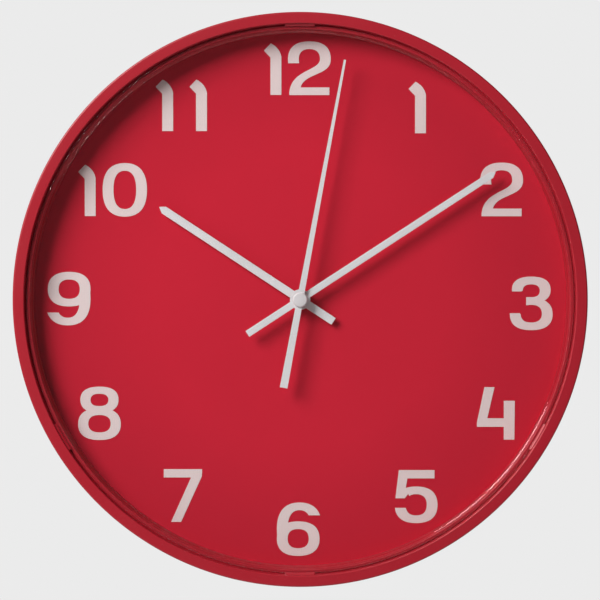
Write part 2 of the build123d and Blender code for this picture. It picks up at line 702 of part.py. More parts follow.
CLUTCH_LEGS = 3
CLUTCH_SHEET = 0.5
CLUTCH_RIM = 0.9
LEG_RADIUS = 2.9
LEG_LENGTH = 3.4
LEG_BREADTH = 1.0
with BuildPart() as clutch_spring:
    with BuildSketch(deep(5.6)):
        Circle(MINUTE_TUBE + CLUTCH_RIM)
        with PolarLocations(LEG_RADIUS, CLUTCH_LEGS, start_angle=90):
            SlotOverall(LEG_LENGTH, LEG_BREADTH)
        Circle(MINUTE_TUBE + FIT, mode=Mode.SUBTRACT)
    extrude(amount=CLUTCH_SHEET)
save(clutch_spring.part, "clutch_spring")

with BuildPart() as third_wheel:
    gear(THIRD, 8, CENTRE_MODULE, 5.5, 7.3)
    gear(THIRD, 60, TRAIN_MODULE, 7.3, 8.1, meshing_phase(8, 60, direction(CENTRE, THIRD)))
    rod(THIRD, PIVOT, PIVOT_START, PIVOT_END)
save(third_wheel.part, "third_wheel")

with BuildPart() as seconds_wheel:
    gear(CENTRE, 8, TRAIN_MODULE, 7.1, 9.0)
    gear(CENTRE, 60, TRAIN_MODULE, 9.0, 9.8, meshing_phase(10, 60, direction(INTERMEDIATE, CENTRE)))
    rod(CENTRE, SECONDS_ARBOR, 7.1, 9.8, mode=Mode.SUBTRACT)
save(seconds_wheel.part, "seconds_wheel")

with BuildPart() as seconds_arbor:
    rod(CENTRE, SECONDS_ARBOR, SECONDS_FRONT, PIVOT_END)
save(seconds_arbor.part, "seconds_arbor")

with BuildPart() as intermediate_wheel:
    gear(INTERMEDIATE, 10, TRAIN_MODULE, 8.8, 10.6)
    gear(INTERMEDIATE, 40, ROTOR_MODULE, 10.6, 11.4, meshing_phase(8, 40, direction(ROTOR, INTERMEDIATE)))
    rod(INTERMEDIATE, PIVOT, PIVOT_START, PIVOT_END)
save(intermediate_wheel.part, "intermediate_wheel")

MAGNET_RADIUS = 2.6
MAGNET_FRONT = 5.0
MAGNET_REAR = 8.0
MAGNET_GAP = 0.5
with BuildPart() as rotor_pinion:
    gear(ROTOR, 8, ROTOR_MODULE, 10.4, 11.6)
    rod(ROTOR, PIVOT, PIVOT_START, PIVOT_END)
save(rotor_pinion.part, "rotor_pinion")

with BuildPart() as rotor_magnet:
    rod(ROTOR, MAGNET_RADIUS, MAGNET_FRONT, MAGNET_REAR)
    rod(ROTOR, PIVOT, MAGNET_FRONT, MAGNET_REAR, mode=Mode.SUBTRACT)
save(rotor_magnet.part, "rotor_magnet")

# ---------------------------------------------------------------- stepping motor and circuit
STATOR_FRONT = 6.2
STATOR_REAR = 7.0
CORE_REAR = 7.8
COIL_Z = 23.3
CORE_WIDTH = 2.6
COIL_HALF_LENGTH = 9.0
FLANGE = 0.8
FLANGE_RADIUS = 2.7
WINDING_RADIUS = 2.4
TUBE_RADIUS = 1.7
LEG_CENTRE = 12.5
LEG_WIDTH = 3.0
STATOR_BOTTOM = 11.6
STATOR_TOP = 19.8
LEG_TOP = 24.6

with BuildPart() as stator_plate:
    with BuildSketch(deep(STATOR_REAR)):
        with Locations((0, (STATOR_BOTTOM + STATOR_TOP) / 2)):
            Rectangle(2 * LEG_CENTRE + LEG_WIDTH, STATOR_TOP - STATOR_BOTTOM)
        with Locations((-LEG_CENTRE, (STATOR_TOP + LEG_TOP) / 2), (LEG_CENTRE, (STATOR_TOP + LEG_TOP) / 2)):
            Rectangle(LEG_WIDTH, LEG_TOP - STATOR_TOP)
        with Locations(ROTOR):
            Circle(MAGNET_RADIUS + MAGNET_GAP, mode=Mode.SUBTRACT)
    extrude(amount=STATOR_REAR - STATOR_FRONT)
save(stator_plate.part, "stator_plate")

with BuildPart() as coil_core:
    with BuildSketch(deep(CORE_REAR)):
        with Locations((0, COIL_Z)):
            Rectangle(2 * LEG_CENTRE + LEG_WIDTH, CORE_WIDTH)
    extrude(amount=CORE_REAR - STATOR_REAR)
save(coil_core.part, "coil_core")

CORE_HEIGHT = MOVEMENT_FRONT - (STATOR_REAR + CORE_REAR) / 2
COIL_PLANE = Plane(origin=(-COIL_HALF_LENGTH, -CORE_HEIGHT, COIL_Z), x_dir=(0, 0, 1), z_dir=(1, 0, 0))

with BuildPart() as coil_bobbin:
    with BuildSketch(COIL_PLANE):
        Circle(TUBE_RADIUS)
    extrude(amount=2 * COIL_HALF_LENGTH)
    for shift in (0, 2 * COIL_HALF_LENGTH - FLANGE):
        with BuildSketch(COIL_PLANE.offset(shift)):
            Circle(FLANGE_RADIUS)
        extrude(amount=FLANGE)
    with BuildSketch(COIL_PLANE):
        Rectangle(CORE_WIDTH, CORE_REAR - STATOR_REAR)
    extrude(amount=2 * COIL_HALF_LENGTH, mode=Mode.SUBTRACT)
save(coil_bobbin.part, "coil_bobbin")

with BuildPart() as coil_winding:
    with BuildSketch(COIL_PLANE.offset(FLANGE)):
        Circle(WINDING_RADIUS)
        Circle(TUBE_RADIUS, mode=Mode.SUBTRACT)
    extrude(amount=2 * (COIL_HALF_LENGTH - FLANGE))
save(coil_winding.part, "coil_winding")

BOARD_REAR = 9.4
BOARD_LEFT = -STRIP_FACE
BOARD_RIGHT = -17.0
BOARD_BOTTOM = 4.0
BOARD_TOP = 26.3
with BuildPart() as circuit_board:
    with BuildSketch(deep(BOARD_REAR)):
        with Locations(((BOARD_LEFT + BOARD_RIGHT) / 2, (BOARD_BOTTOM + BOARD_TOP) / 2)):
            Rectangle(BOARD_RIGHT - BOARD_LEFT, BOARD_TOP - BOARD_BOTTOM)
    extrude(amount=BOARD_REAR - BOARD_FRONT)
save(circuit_board.part, "circuit_board")

CHIP = (-21.0, 17.0)
CHIP_RADIUS = 2.5
CHIP_HEIGHT = 1.0
CHIP_ROUND = 0.8
with BuildPart() as circuit_chip:
    rod(CHIP, CHIP_RADIUS, BOARD_REAR, BOARD_REAR + CHIP_HEIGHT)
    chip_edge = circuit_chip.edges().filter_by(GeomType.CIRCLE).sort_by(Axis.Y)[-1]
    fillet(chip_edge, CHIP_ROUND)
save(circuit_chip.part, "circuit_chip")

CRYSTAL_RADIUS = 1.0
CRYSTAL_LENGTH = 6.0
CRYSTAL_ROUND = 0.3
CRYSTAL_PLANE = Plane(
    origin=(-23.5, -(MOVEMENT_FRONT - BOARD_REAR - CRYSTAL_RADIUS), 5.5), x_dir=(1, 0, 0), z_dir=(0, 0, 1)
)
with BuildPart() as quartz_crystal:
    with BuildSketch(CRYSTAL_PLANE):
        Circle(CRYSTAL_RADIUS)
    extrude(amount=CRYSTAL_LENGTH)
    fillet(quartz_crystal.edges().filter_by(GeomType.CIRCLE).sort_by(Axis.Z)[-1], CRYSTAL_ROUND)
save(quartz_crystal.part, "quartz_crystal")

# ---------------------------------------------------------------- battery and its contacts
CONTACT_BOTTOM = -24.5
BLADE_END = -14.5
WALL_STRIP_TOP = 26.3
WALL_STRIP_LAP = 2.0
NEGATIVE_STRIP_TOP = 8.0
with BuildPart() as positive_contact:
    with BuildSketch(at(STRIP_REAR)):
        with BuildLine():
            Polyline(
                (STRIP_FACE, CONTACT_BOTTOM), (STRIP_FACE + STRIP, CONTACT_BOTTOM),
                (STRIP_FACE + STRIP, WALL_STRIP_TOP + STRIP),
                (BOARD_LEFT + WALL_STRIP_LAP, WALL_STRIP_TOP + STRIP),
                (BOARD_LEFT + WALL_STRIP_LAP, WALL_STRIP_TOP), (STRIP_FACE, WALL_STRIP_TOP),
                (STRIP_FACE, CONTACT_BOTTOM),
            )
        make_face()
    extrude(amount=STRIP_WIDTH)
save(positive_contact.part, "positive_contact")

BLADE = 0.3
BLADE_REACH = CELL_LEFT - FIT
with BuildPart() as negative_contact:
    with BuildSketch(at(STRIP_REAR)):
        strip_middle = (CONTACT_BOTTOM + NEGATIVE_STRIP_TOP) / 2
        with Locations((-STRIP_FACE - STRIP / 2, strip_middle)):
            Rectangle(STRIP, NEGATIVE_STRIP_TOP - CONTACT_BOTTOM)
        with BuildLine():
            ThreePointArc((-STRIP_FACE, CONTACT_BOTTOM), (BLADE_REACH, CELL_Z), (-STRIP_FACE, BLADE_END))
            Line((-STRIP_FACE, BLADE_END), (-STRIP_FACE - BLADE, BLADE_END))
            ThreePointArc(
                (-STRIP_FACE - BLADE, BLADE_END), (BLADE_REACH - BLADE, CELL_Z),
                (-STRIP_FACE - BLADE, CONTACT_BOTTOM),
            )
            Line((-STRIP_FACE - BLADE, CONTACT_BOTTOM), (-STRIP_FACE, CONTACT_BOTTOM))
        make_face()
    extrude(amount=STRIP_WIDTH)
save(negative_contact.part, "negative_contact")

CELL_PLANE = Plane(origin=(CELL_LEFT, -CELL_HEIGHT, CELL_Z), x_dir=(0, 0, 1), z_dir=(1, 0, 0))
with BuildPart() as battery:
    with BuildSketch(CELL_PLANE):
        Circle(CELL_RADIUS)
    extrude(amount=CELL_RIGHT - CELL_LEFT)
    fillet(battery.edges().filter_by(GeomType.CIRCLE), CELL_ROUND)
    with BuildSketch(CELL_PLANE.offset(CELL_RIGHT - CELL_LEFT)):
        Circle(CELL_NUB_RADIUS)
    extrude(amount=CELL_NUB)
    fillet(battery.edges().filter_by(GeomType.CIRCLE).sort_by(Axis.X)[-1], NUB_ROUND)
save(battery.part, "battery")
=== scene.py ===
"""Round red wall clock: every visible piece, its finish and the studio it stands in.

Lengths in this file are millimetres unless a name says otherwise, and become metres where a mesh is made.
A height is measured from the wall towards the front of the clock, which faces -Y. +Z is up.
"""

from __future__ import annotations

import logging
import math
from dataclasses import dataclass, field
from enum import Enum
from typing import Any, Iterable, Sequence, Union

import bmesh
import bpy
from mathutils import Matrix, Vector


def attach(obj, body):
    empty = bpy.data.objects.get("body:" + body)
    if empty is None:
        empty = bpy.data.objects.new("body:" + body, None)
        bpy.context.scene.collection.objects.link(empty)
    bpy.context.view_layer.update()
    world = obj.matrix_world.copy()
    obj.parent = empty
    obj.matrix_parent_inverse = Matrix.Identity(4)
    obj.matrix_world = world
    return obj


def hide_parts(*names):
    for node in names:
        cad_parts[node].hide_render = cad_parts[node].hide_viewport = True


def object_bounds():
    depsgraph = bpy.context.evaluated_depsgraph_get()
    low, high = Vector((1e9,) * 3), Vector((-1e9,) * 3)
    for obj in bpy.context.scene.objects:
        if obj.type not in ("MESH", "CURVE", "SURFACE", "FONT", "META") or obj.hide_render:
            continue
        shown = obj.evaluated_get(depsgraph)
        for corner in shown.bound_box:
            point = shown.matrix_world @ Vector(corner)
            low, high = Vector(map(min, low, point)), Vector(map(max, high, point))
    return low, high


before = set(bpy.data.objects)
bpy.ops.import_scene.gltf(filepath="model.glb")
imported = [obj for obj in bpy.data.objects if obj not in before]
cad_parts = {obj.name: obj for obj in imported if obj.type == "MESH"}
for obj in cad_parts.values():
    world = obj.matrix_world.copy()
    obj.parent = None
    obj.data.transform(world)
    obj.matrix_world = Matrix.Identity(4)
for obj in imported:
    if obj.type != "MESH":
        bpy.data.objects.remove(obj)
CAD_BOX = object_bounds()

LOG = logging.getLogger("wall_clock")
MM = 0.001
CLOCK_AXIS = Vector((0.0, 1.0, 0.0))
ROUND_STEPS = 288
SMOOTH_ANGLE = math.radians(32)
FINE_SHARE = 0.65
RING_SHARE = 0.6
DUST_COLOUR = (0.62, 0.60, 0.58)
COAT_ROUGHNESS = 0.12

Colour = tuple[float, float, float]
Section = Sequence[tuple[float, float, float]]
Socket = bpy.types.NodeSocket
Feed = Union[Socket, float, Sequence[float]]


class Body(str, Enum):
    """The bodies that pieces ride on."""

    CASE = "case"
    SECOND = "second_hand"
    MINUTE = "minute_hand"
    HOUR = "hour_hand"
    MINUTE_WHEEL = "minute_wheel"
    BATTERY = "battery"


# ------------------------------------------------------------------ node trees
class Tree:
    """A node tree with short ways to add nodes and join them."""

    def __init__(self, tree: bpy.types.NodeTree) -> None:
        """Keep the tree.

        Args:
            tree: The tree that nodes are added to.
        """
        self.tree = tree

    def add(self, kind: str, inputs: dict[str | int, Feed] | None = None, **settings: Any) -> bpy.types.Node:
        """Add one node.

        Args:
            kind: The node's type, such as "ShaderNodeBump".
            inputs: Input names or numbers, each with a socket to link or a value to hold.
            **settings: Properties of the node.

        Returns:
            The new node.
        """
        node = self.tree.nodes.new(kind)
        for name, value in settings.items():
            setattr(node, name, value)
        for name, value in (inputs or {}).items():
            socket = node.inputs[name]
            if isinstance(value, Socket):
                self.tree.links.new(value, socket)
            else:
                socket.default_value = value
        return node

    def blend(self, factor: Feed, first: Feed, second: Feed) -> Socket:
        """Mix two colours.

        Args:
            factor: Share of the second colour, a socket or a number.
            first: Colour socket or RGBA value.
            second: Colour socket or RGBA value.

        Returns:
            The mixed colour.
        """
        node = self.add("ShaderNodeMix", {0: factor, 6: first, 7: second}, data_type="RGBA")
        return node.outputs[2]

    def maths(self, operation: str, first: Feed, second: Feed = 0.0) -> Socket:
        """Add a Math node.

        Args:
            operation: Name of the operation, such as "MULTIPLY".
            first: First value or socket.
            second: Second value or socket.

        Returns:
            The result.
        """
        return self.add("ShaderNodeMath", {0: first, 1: second}, operation=operation).outputs[0]

    def spread(self, value: Socket, low: float, high: float, to_low: float, to_high: float) -> Socket:
        """Stretch a value from one range to another, and clamp it.

        Args:
            value: The socket to stretch.
            low: Value that becomes to_low.
            high: Value that becomes to_high.
            to_low: Lower end of the result.
            to_high: Upper end of the result.

        Returns:
            The stretched value.
        """
        inputs = {"Value": value, "From Min": low, "From Max": high, "To Min": to_low, "To Max": to_high}
        return self.add("ShaderNodeMapRange", inputs).outputs[0]


def rgba(colour: Colour) -> tuple[float, float, float, float]:
    """Return a colour with an alpha of one."""
    return (*colour, 1.0)


class Effect:
    """A shader node group that several finishes use."""

    def __init__(self, name: str, inputs: dict[str, float | None], outputs: Sequence[str]) -> None:
        """Make the group and its sockets.

        Args:
            name: Name of the group.
            inputs: Input names with their default, or None for a vector.
            outputs: Names of the float outputs.
        """
        self.group = bpy.data.node_groups.new(name, "ShaderNodeTree")
        for label, value in inputs.items():
            kind = "NodeSocketVector" if value is None else "NodeSocketFloat"
            socket = self.group.interface.new_socket(name=label, in_out="INPUT", socket_type=kind)
            if value is not None:
                socket.default_value = value
        for label in outputs:
            self.group.interface.new_socket(name=label, in_out="OUTPUT", socket_type="NodeSocketFloat")
        self.tree = Tree(self.group)
        self.source = self.group.nodes.new("NodeGroupInput")
        self.sink = self.group.nodes.new("NodeGroupOutput")

    def put_out(self, label: str, value: Socket) -> None:
        """Join a value to one of the group's outputs."""
        self.group.links.new(value, self.sink.inputs[label])

    def place(self, tree: Tree, inputs: dict[str, Feed]) -> bpy.types.Node:
        """Place the group in a material.

        Args:
            tree: The material's tree.
            inputs: Values or sockets for the group's inputs.

        Returns:
            The group node.
        """
        return tree.add("ShaderNodeGroup", inputs, node_tree=self.group)


def grain_effect() -> Effect:
    """Make the grain of a moulded or printed surface.

    Returns:
        A group with a fine Height, and a slow Tone between 0 and 1.
    """
    inputs = {"Vector": None, "Fine Scale": 2200.0, "Slow Scale": 14.0}
    effect = Effect("surface_grain", inputs, ("Height", "Tone"))
    tree, source = effect.tree, effect.source
    fine = tree.add(
        "ShaderNodeTexNoise",
        {"Vector": source.outputs["Vector"], "Scale": source.outputs["Fine Scale"], "Detail": 2.0},
    )
    pits = tree.add(
        "ShaderNodeTexVoronoi",
        {"Vector": source.outputs["Vector"], "Scale": source.outputs["Fine Scale"]},
        feature="SMOOTH_F1",
    )
    fine_part = tree.maths("MULTIPLY", fine.outputs[0], FINE_SHARE)
    pit_part = tree.maths("MULTIPLY", pits.outputs[0], 1 - FINE_SHARE)
    slow = tree.add(
        "ShaderNodeTexNoise",
        {"Vector": source.outputs["Vector"], "Scale": source.outputs["Slow Scale"], "Detail": 3.0},
    )
    effect.put_out("Height", tree.maths("ADD", fine_part, pit_part))
    effect.put_out("Tone", tree.spread(slow.outputs[0], 0.3, 0.7, 0.0, 1.0))
    return effect


def handling_effect() -> Effect:
    """Make the faint smears and dust that dull a gloss.

    Returns:
        A group with a Roughness that varies about a base, and a Dust mask.
    """
    inputs = {"Vector": None, "Base": 0.4, "Amount": 0.08, "Scale": 30.0}
    effect = Effect("handling", inputs, ("Roughness", "Dust"))
    tree, source = effect.tree, effect.source
    vector = source.outputs["Vector"]
    smear = tree.add(
        "ShaderNodeTexNoise",
        {"Vector": vector, "Scale": source.outputs["Scale"], "Detail": 4.0, "Distortion": 0.6},
    )
    swing = tree.maths("MULTIPLY", tree.maths("SUBTRACT", smear.outputs[0], 0.5), source.outputs["Amount"])
    specks = tree.add("ShaderNodeTexNoise", {"Vector": vector, "Scale": 900.0, "Detail": 1.0})
    both_ways = tree.maths("MULTIPLY", swing, 2.0)
    effect.put_out("Roughness", tree.maths("ADD", source.outputs["Base"], both_ways))
    effect.put_out("Dust", tree.spread(specks.outputs[0], 0.66, 0.74, 0.0, 1.0))
    return effect


GRAIN = grain_effect()
HANDLING = handling_effect()


# ------------------------------------------------------------------ finishes
@dataclass(frozen=True)
class Finish:
    """A plain surface with grain, slow tone and handling: plastic, ink, paint or metal.

    Attributes:
        name: Name of the material.
        colour: Main colour.
        shade: Colour that the main one drifts towards.
        roughness: Middle of the roughness.
        roughness_swing: How far the roughness varies.
        metallic: 1 for bare metal.
        grain_scale: Fine grain features in a metre.
        grain_depth: Depth of the grain in millimetres.
        grain_strength: Strength of the grain's relief.
        coat: Weight of a clear coat.
        dust: Share of pale dust.
        specular: Specular level.
        slow_scale: Slow tone features in a metre.
    """

    name: str
    colour: Colour
    shade: Colour
    roughness: float = 0.45
    roughness_swing: float = 0.08
    metallic: float = 0.0
    grain_scale: float = 2200.0
    grain_depth: float = 0.02
    grain_strength: float = 0.25
    coat: float = 0.0
    dust: float = 0.0
    specular: float = 0.5
    slow_scale: float = 14.0

    def coordinates(self, tree: Tree) -> Socket:
        """Return the coordinates that the patterns read."""
        return tree.add("ShaderNodeTexCoord").outputs["Object"]

    def base(self, tree: Tree, vector: Socket, tone: Socket) -> Socket:
        """Return the colour before dust: the main colour drifting to its shade by the slow tone."""
        return tree.blend(tone, rgba(self.colour), rgba(self.shade))

    def relief(self, tree: Tree, vector: Socket, height: Socket) -> Socket:
        """Return the normal that the grain gives."""
        inputs = {"Strength": self.grain_strength, "Distance": self.grain_depth * MM, "Height": height}
        return tree.add("ShaderNodeBump", inputs).outputs[0]

    def build(self) -> bpy.types.Material:
        """Make the material.

        Returns:
            The material.
        """
        material = bpy.data.materials.new(self.name)
        material.use_nodes = True
        material.node_tree.nodes.clear()
        tree = Tree(material.node_tree)
        vector = self.coordinates(tree)
        scales = {"Vector": vector, "Fine Scale": self.grain_scale, "Slow Scale": self.slow_scale}
        grain = GRAIN.place(tree, scales)
        wear = {"Vector": vector, "Base": self.roughness, "Amount": self.roughness_swing}
        handling = HANDLING.place(tree, wear)
        colour = self.base(tree, vector, grain.outputs["Tone"])
        if self.dust:
            share = tree.maths("MULTIPLY", handling.outputs["Dust"], self.dust)
            colour = tree.blend(share, colour, rgba(DUST_COLOUR))
        shader = tree.add(
            "ShaderNodeBsdfPrincipled",
            {
                "Base Color": colour,
                "Roughness": handling.outputs["Roughness"],
                "Normal": self.relief(tree, vector, grain.outputs["Height"]),
            },
        )
        shader.inputs["Metallic"].default_value = self.metallic
        shader.inputs["Coat Weight"].default_value = self.coat
        shader.inputs["Coat Roughness"].default_value = COAT_ROUGHNESS
        shader.inputs["Specular IOR Level"].default_value = self.specular
        output = tree.add("ShaderNodeOutputMaterial")
        material.node_tree.links.new(shader.outputs[0], output.inputs["Surface"])
        material.diffuse_color = rgba(self.colour)
        return material


@dataclass(frozen=True)
class TurnedMetal(Finish):
    """Metal with the fine uneven relief that turning and drawing leave.

    Attributes:
        ring_scale: Fine relief features in a metre.
    """

    ring_scale: float = 5200.0

    def relief(self, tree: Tree, vector: Socket, height: Socket) -> Socket:
        """Make the normal of the tool marks and the grain together.

        Args:
            tree: The material's tree.
            vector: The pattern's coordinates.
            height: Height of the grain.

        Returns:
            The normal.
        """
        rings = tree.add("ShaderNodeTexNoise", {"Vector": vector, "Scale": self.ring_scale, "Detail": 1.0})
        ring_part = tree.maths("MULTIPLY", rings.outputs[0], RING_SHARE)
        grain_part = tree.maths("MULTIPLY", height, 1 - RING_SHARE)
        both = tree.maths("ADD", ring_part, grain_part)
        inputs = {"Strength": self.grain_strength, "Distance": self.grain_depth * MM, "Height": both}
        return tree.add("ShaderNodeBump", inputs).outputs[0]


@dataclass(frozen=True)
class ClearPlastic:
    """Clear moulded plastic that lets lamps light what lies behind it.

    Attributes:
        name: Name of the material.
        tint: Colour of the plastic.
        ior: Refractive index.
        ripple: Strength of the faint moulding ripples.
        ripple_depth: Depth of the ripples in millimetres.
        deep_tint: Tint that the plastic drifts towards.
        passed: Colour that the plastic leaves of a lamp's light.
    """

    name: str
    tint: Colour = (0.985, 0.99, 0.99)
    ior: float = 1.49
    ripple: float = 0.04
    ripple_depth: float = 0.05
    deep_tint: Colour = (0.97, 0.98, 0.985)
    passed: Colour = (0.97, 0.97, 0.97)

    def build(self) -> bpy.types.Material:
        """Make the material.

        Returns:
            The material.
        """
        material = bpy.data.materials.new(self.name)
        material.use_nodes = True
        material.node_tree.nodes.clear()
        tree = Tree(material.node_tree)
        vector = tree.add("ShaderNodeTexCoord").outputs["Object"]
        grain = GRAIN.place(tree, {"Vector": vector, "Fine Scale": 60.0, "Slow Scale": 9.0})
        depth, height = self.ripple_depth * MM, grain.outputs["Height"]
        bump = tree.add("ShaderNodeBump", {"Strength": self.ripple, "Distance": depth, "Height": height})
        tint = tree.blend(grain.outputs["Tone"], rgba(self.tint), rgba(self.deep_tint))
        glass = tree.add("ShaderNodeBsdfPrincipled", {"Base Color": tint, "Normal": bump.outputs[0]})
        glass.inputs["Roughness"].default_value = 0.0
        glass.inputs["IOR"].default_value = self.ior
        glass.inputs["Transmission Weight"].default_value = 1.0
        open_way = tree.add("ShaderNodeBsdfTransparent", {"Color": rgba(self.passed)})
        path = tree.add("ShaderNodeLightPath")
        passing = tree.maths("MAXIMUM", path.outputs["Is Shadow Ray"], path.outputs["Is Diffuse Ray"])
        mixed = tree.add("ShaderNodeMixShader", {0: passing, 1: glass.outputs[0], 2: open_way.outputs[0]})
        output = tree.add("ShaderNodeOutputMaterial")
        material.node_tree.links.new(mixed.outputs[0], output.inputs["Surface"])
        material.diffuse_color = (*self.tint, 0.2)
        return material


@dataclass(frozen=True)
class DialPrintWithPaintedShade(Finish):
    """Matt print, darkened slightly towards the edge of the dial by painted shade.

    Attributes:
        painted_edge_shade: Brightness at the edge beside the middle, where the painted shade is deepest.
        unshaded_to: Radius in millimetres up to which no shade is painted.
        painted_shade_full_from: Radius in millimetres from which the painted shade is deepest.
    """

    painted_edge_shade: float = 0.87
    unshaded_to: float = 72.0
    painted_shade_full_from: float = 112.0

    def base(self, tree: Tree, vector: Socket, tone: Socket) -> Socket:
        """Make the print's colour, with painted shade deepening it towards the edge.

        Args:
            tree: The material's tree.
            vector: The pattern's coordinates.
            tone: The slow tone.

        Returns:
            The colour.
        """
        plain = tree.blend(tone, rgba(self.colour), rgba(self.shade))
        flat = tree.add("ShaderNodeVectorMath", {0: vector, 1: (1.0, 0.0, 1.0)}, operation="MULTIPLY")
        radius = tree.add("ShaderNodeVectorMath", {0: flat.outputs[0]}, operation="LENGTH").outputs["Value"]
        # Share of painted shade: none in the middle, full near the rim.
        depth = tree.spread(radius, self.unshaded_to * MM, self.painted_shade_full_from * MM, 0.0, 1.0)
        # Colour of the painted shade at the dial's edge.
        edge = tuple(channel * self.painted_edge_shade for channel in self.colour)
        return tree.blend(depth, plain, rgba(edge))


@dataclass(frozen=True)
class WoundWire(Finish):
    """Fine enamelled wire wound along the X axis.

    Attributes:
        wire: Diameter of the wire in millimetres.
    """

    wire: float = 0.06

    def relief(self, tree: Tree, vector: Socket, height: Socket) -> Socket:
        """Make the normal of the turns.

        Args:
            tree: The material's tree.
            vector: The pattern's coordinates.
            height: Height of the grain; not used.

        Returns:
            The normal.
        """
        along = tree.add("ShaderNodeSeparateXYZ", {"Vector": vector}).outputs["X"]
        turns = tree.maths("SINE", tree.maths("MULTIPLY", along, math.tau / (self.wire * MM)))
        inputs = {"Strength": self.grain_strength, "Distance": self.grain_depth * MM, "Height": turns}
        return tree.add("ShaderNodeBump", inputs).outputs[0]


@dataclass(frozen=True)
class BandedSleeve(Finish):
    """A battery's plain printed sleeve with one band of a second colour.

    Attributes:
        band: Colour of the band.
        band_from: X position, in millimetres, where the band begins.
        blur: Width of the band's edge in millimetres.
    """

    band: Colour = (0.62, 0.36, 0.12)
    band_from: float = 12.0
    blur: float = 0.1

    def base(self, tree: Tree, vector: Socket, tone: Socket) -> Socket:
        """Make the sleeve's two colours.

        Args:
            tree: The material's tree.
            vector: The pattern's coordinates.
            tone: The slow tone.

        Returns:
            The colour.
        """
        along = tree.add("ShaderNodeSeparateXYZ", {"Vector": vector}).outputs["X"]
        edge = self.band_from * MM
        beyond = tree.spread(along, edge, edge + self.blur * MM, 0.0, 1.0)
        plain = tree.blend(tone, rgba(self.colour), rgba(self.shade))
        return tree.blend(beyond, plain, rgba(self.band))


@dataclass(frozen=True)
class FloorPaper(Finish):
    """Pale paper that the camera sees evenly lit, and that lights the clock as plain paper does.

    Attributes:
        seen: Grey that the camera's rays meet.
        seen_share: Share of that grey in what they meet.
    """

    seen: float = 0.80
    seen_share: float = 0.75

    def build(self) -> bpy.types.Material:
        """Make the material.

        Returns:
            The material.
        """
        material = super().build()
        material.cycles.emission_sampling = "NONE"
        tree = Tree(material.node_tree)
        output = next(node for node in material.node_tree.nodes if node.type == "OUTPUT_MATERIAL")
        plain = output.inputs["Surface"].links[0].from_socket
        even = tree.add("ShaderNodeEmission", {"Color": rgba((self.seen, self.seen, self.seen))})
        camera_ray = tree.add("ShaderNodeLightPath").outputs["Is Camera Ray"]
        share = tree.maths("MULTIPLY", camera_ray, self.seen_share)
        mixed = tree.add("ShaderNodeMixShader", {0: share, 1: plain, 2: even.outputs[0]})
        material.node_tree.links.new(mixed.outputs[0], output.inputs["Surface"])
        return material


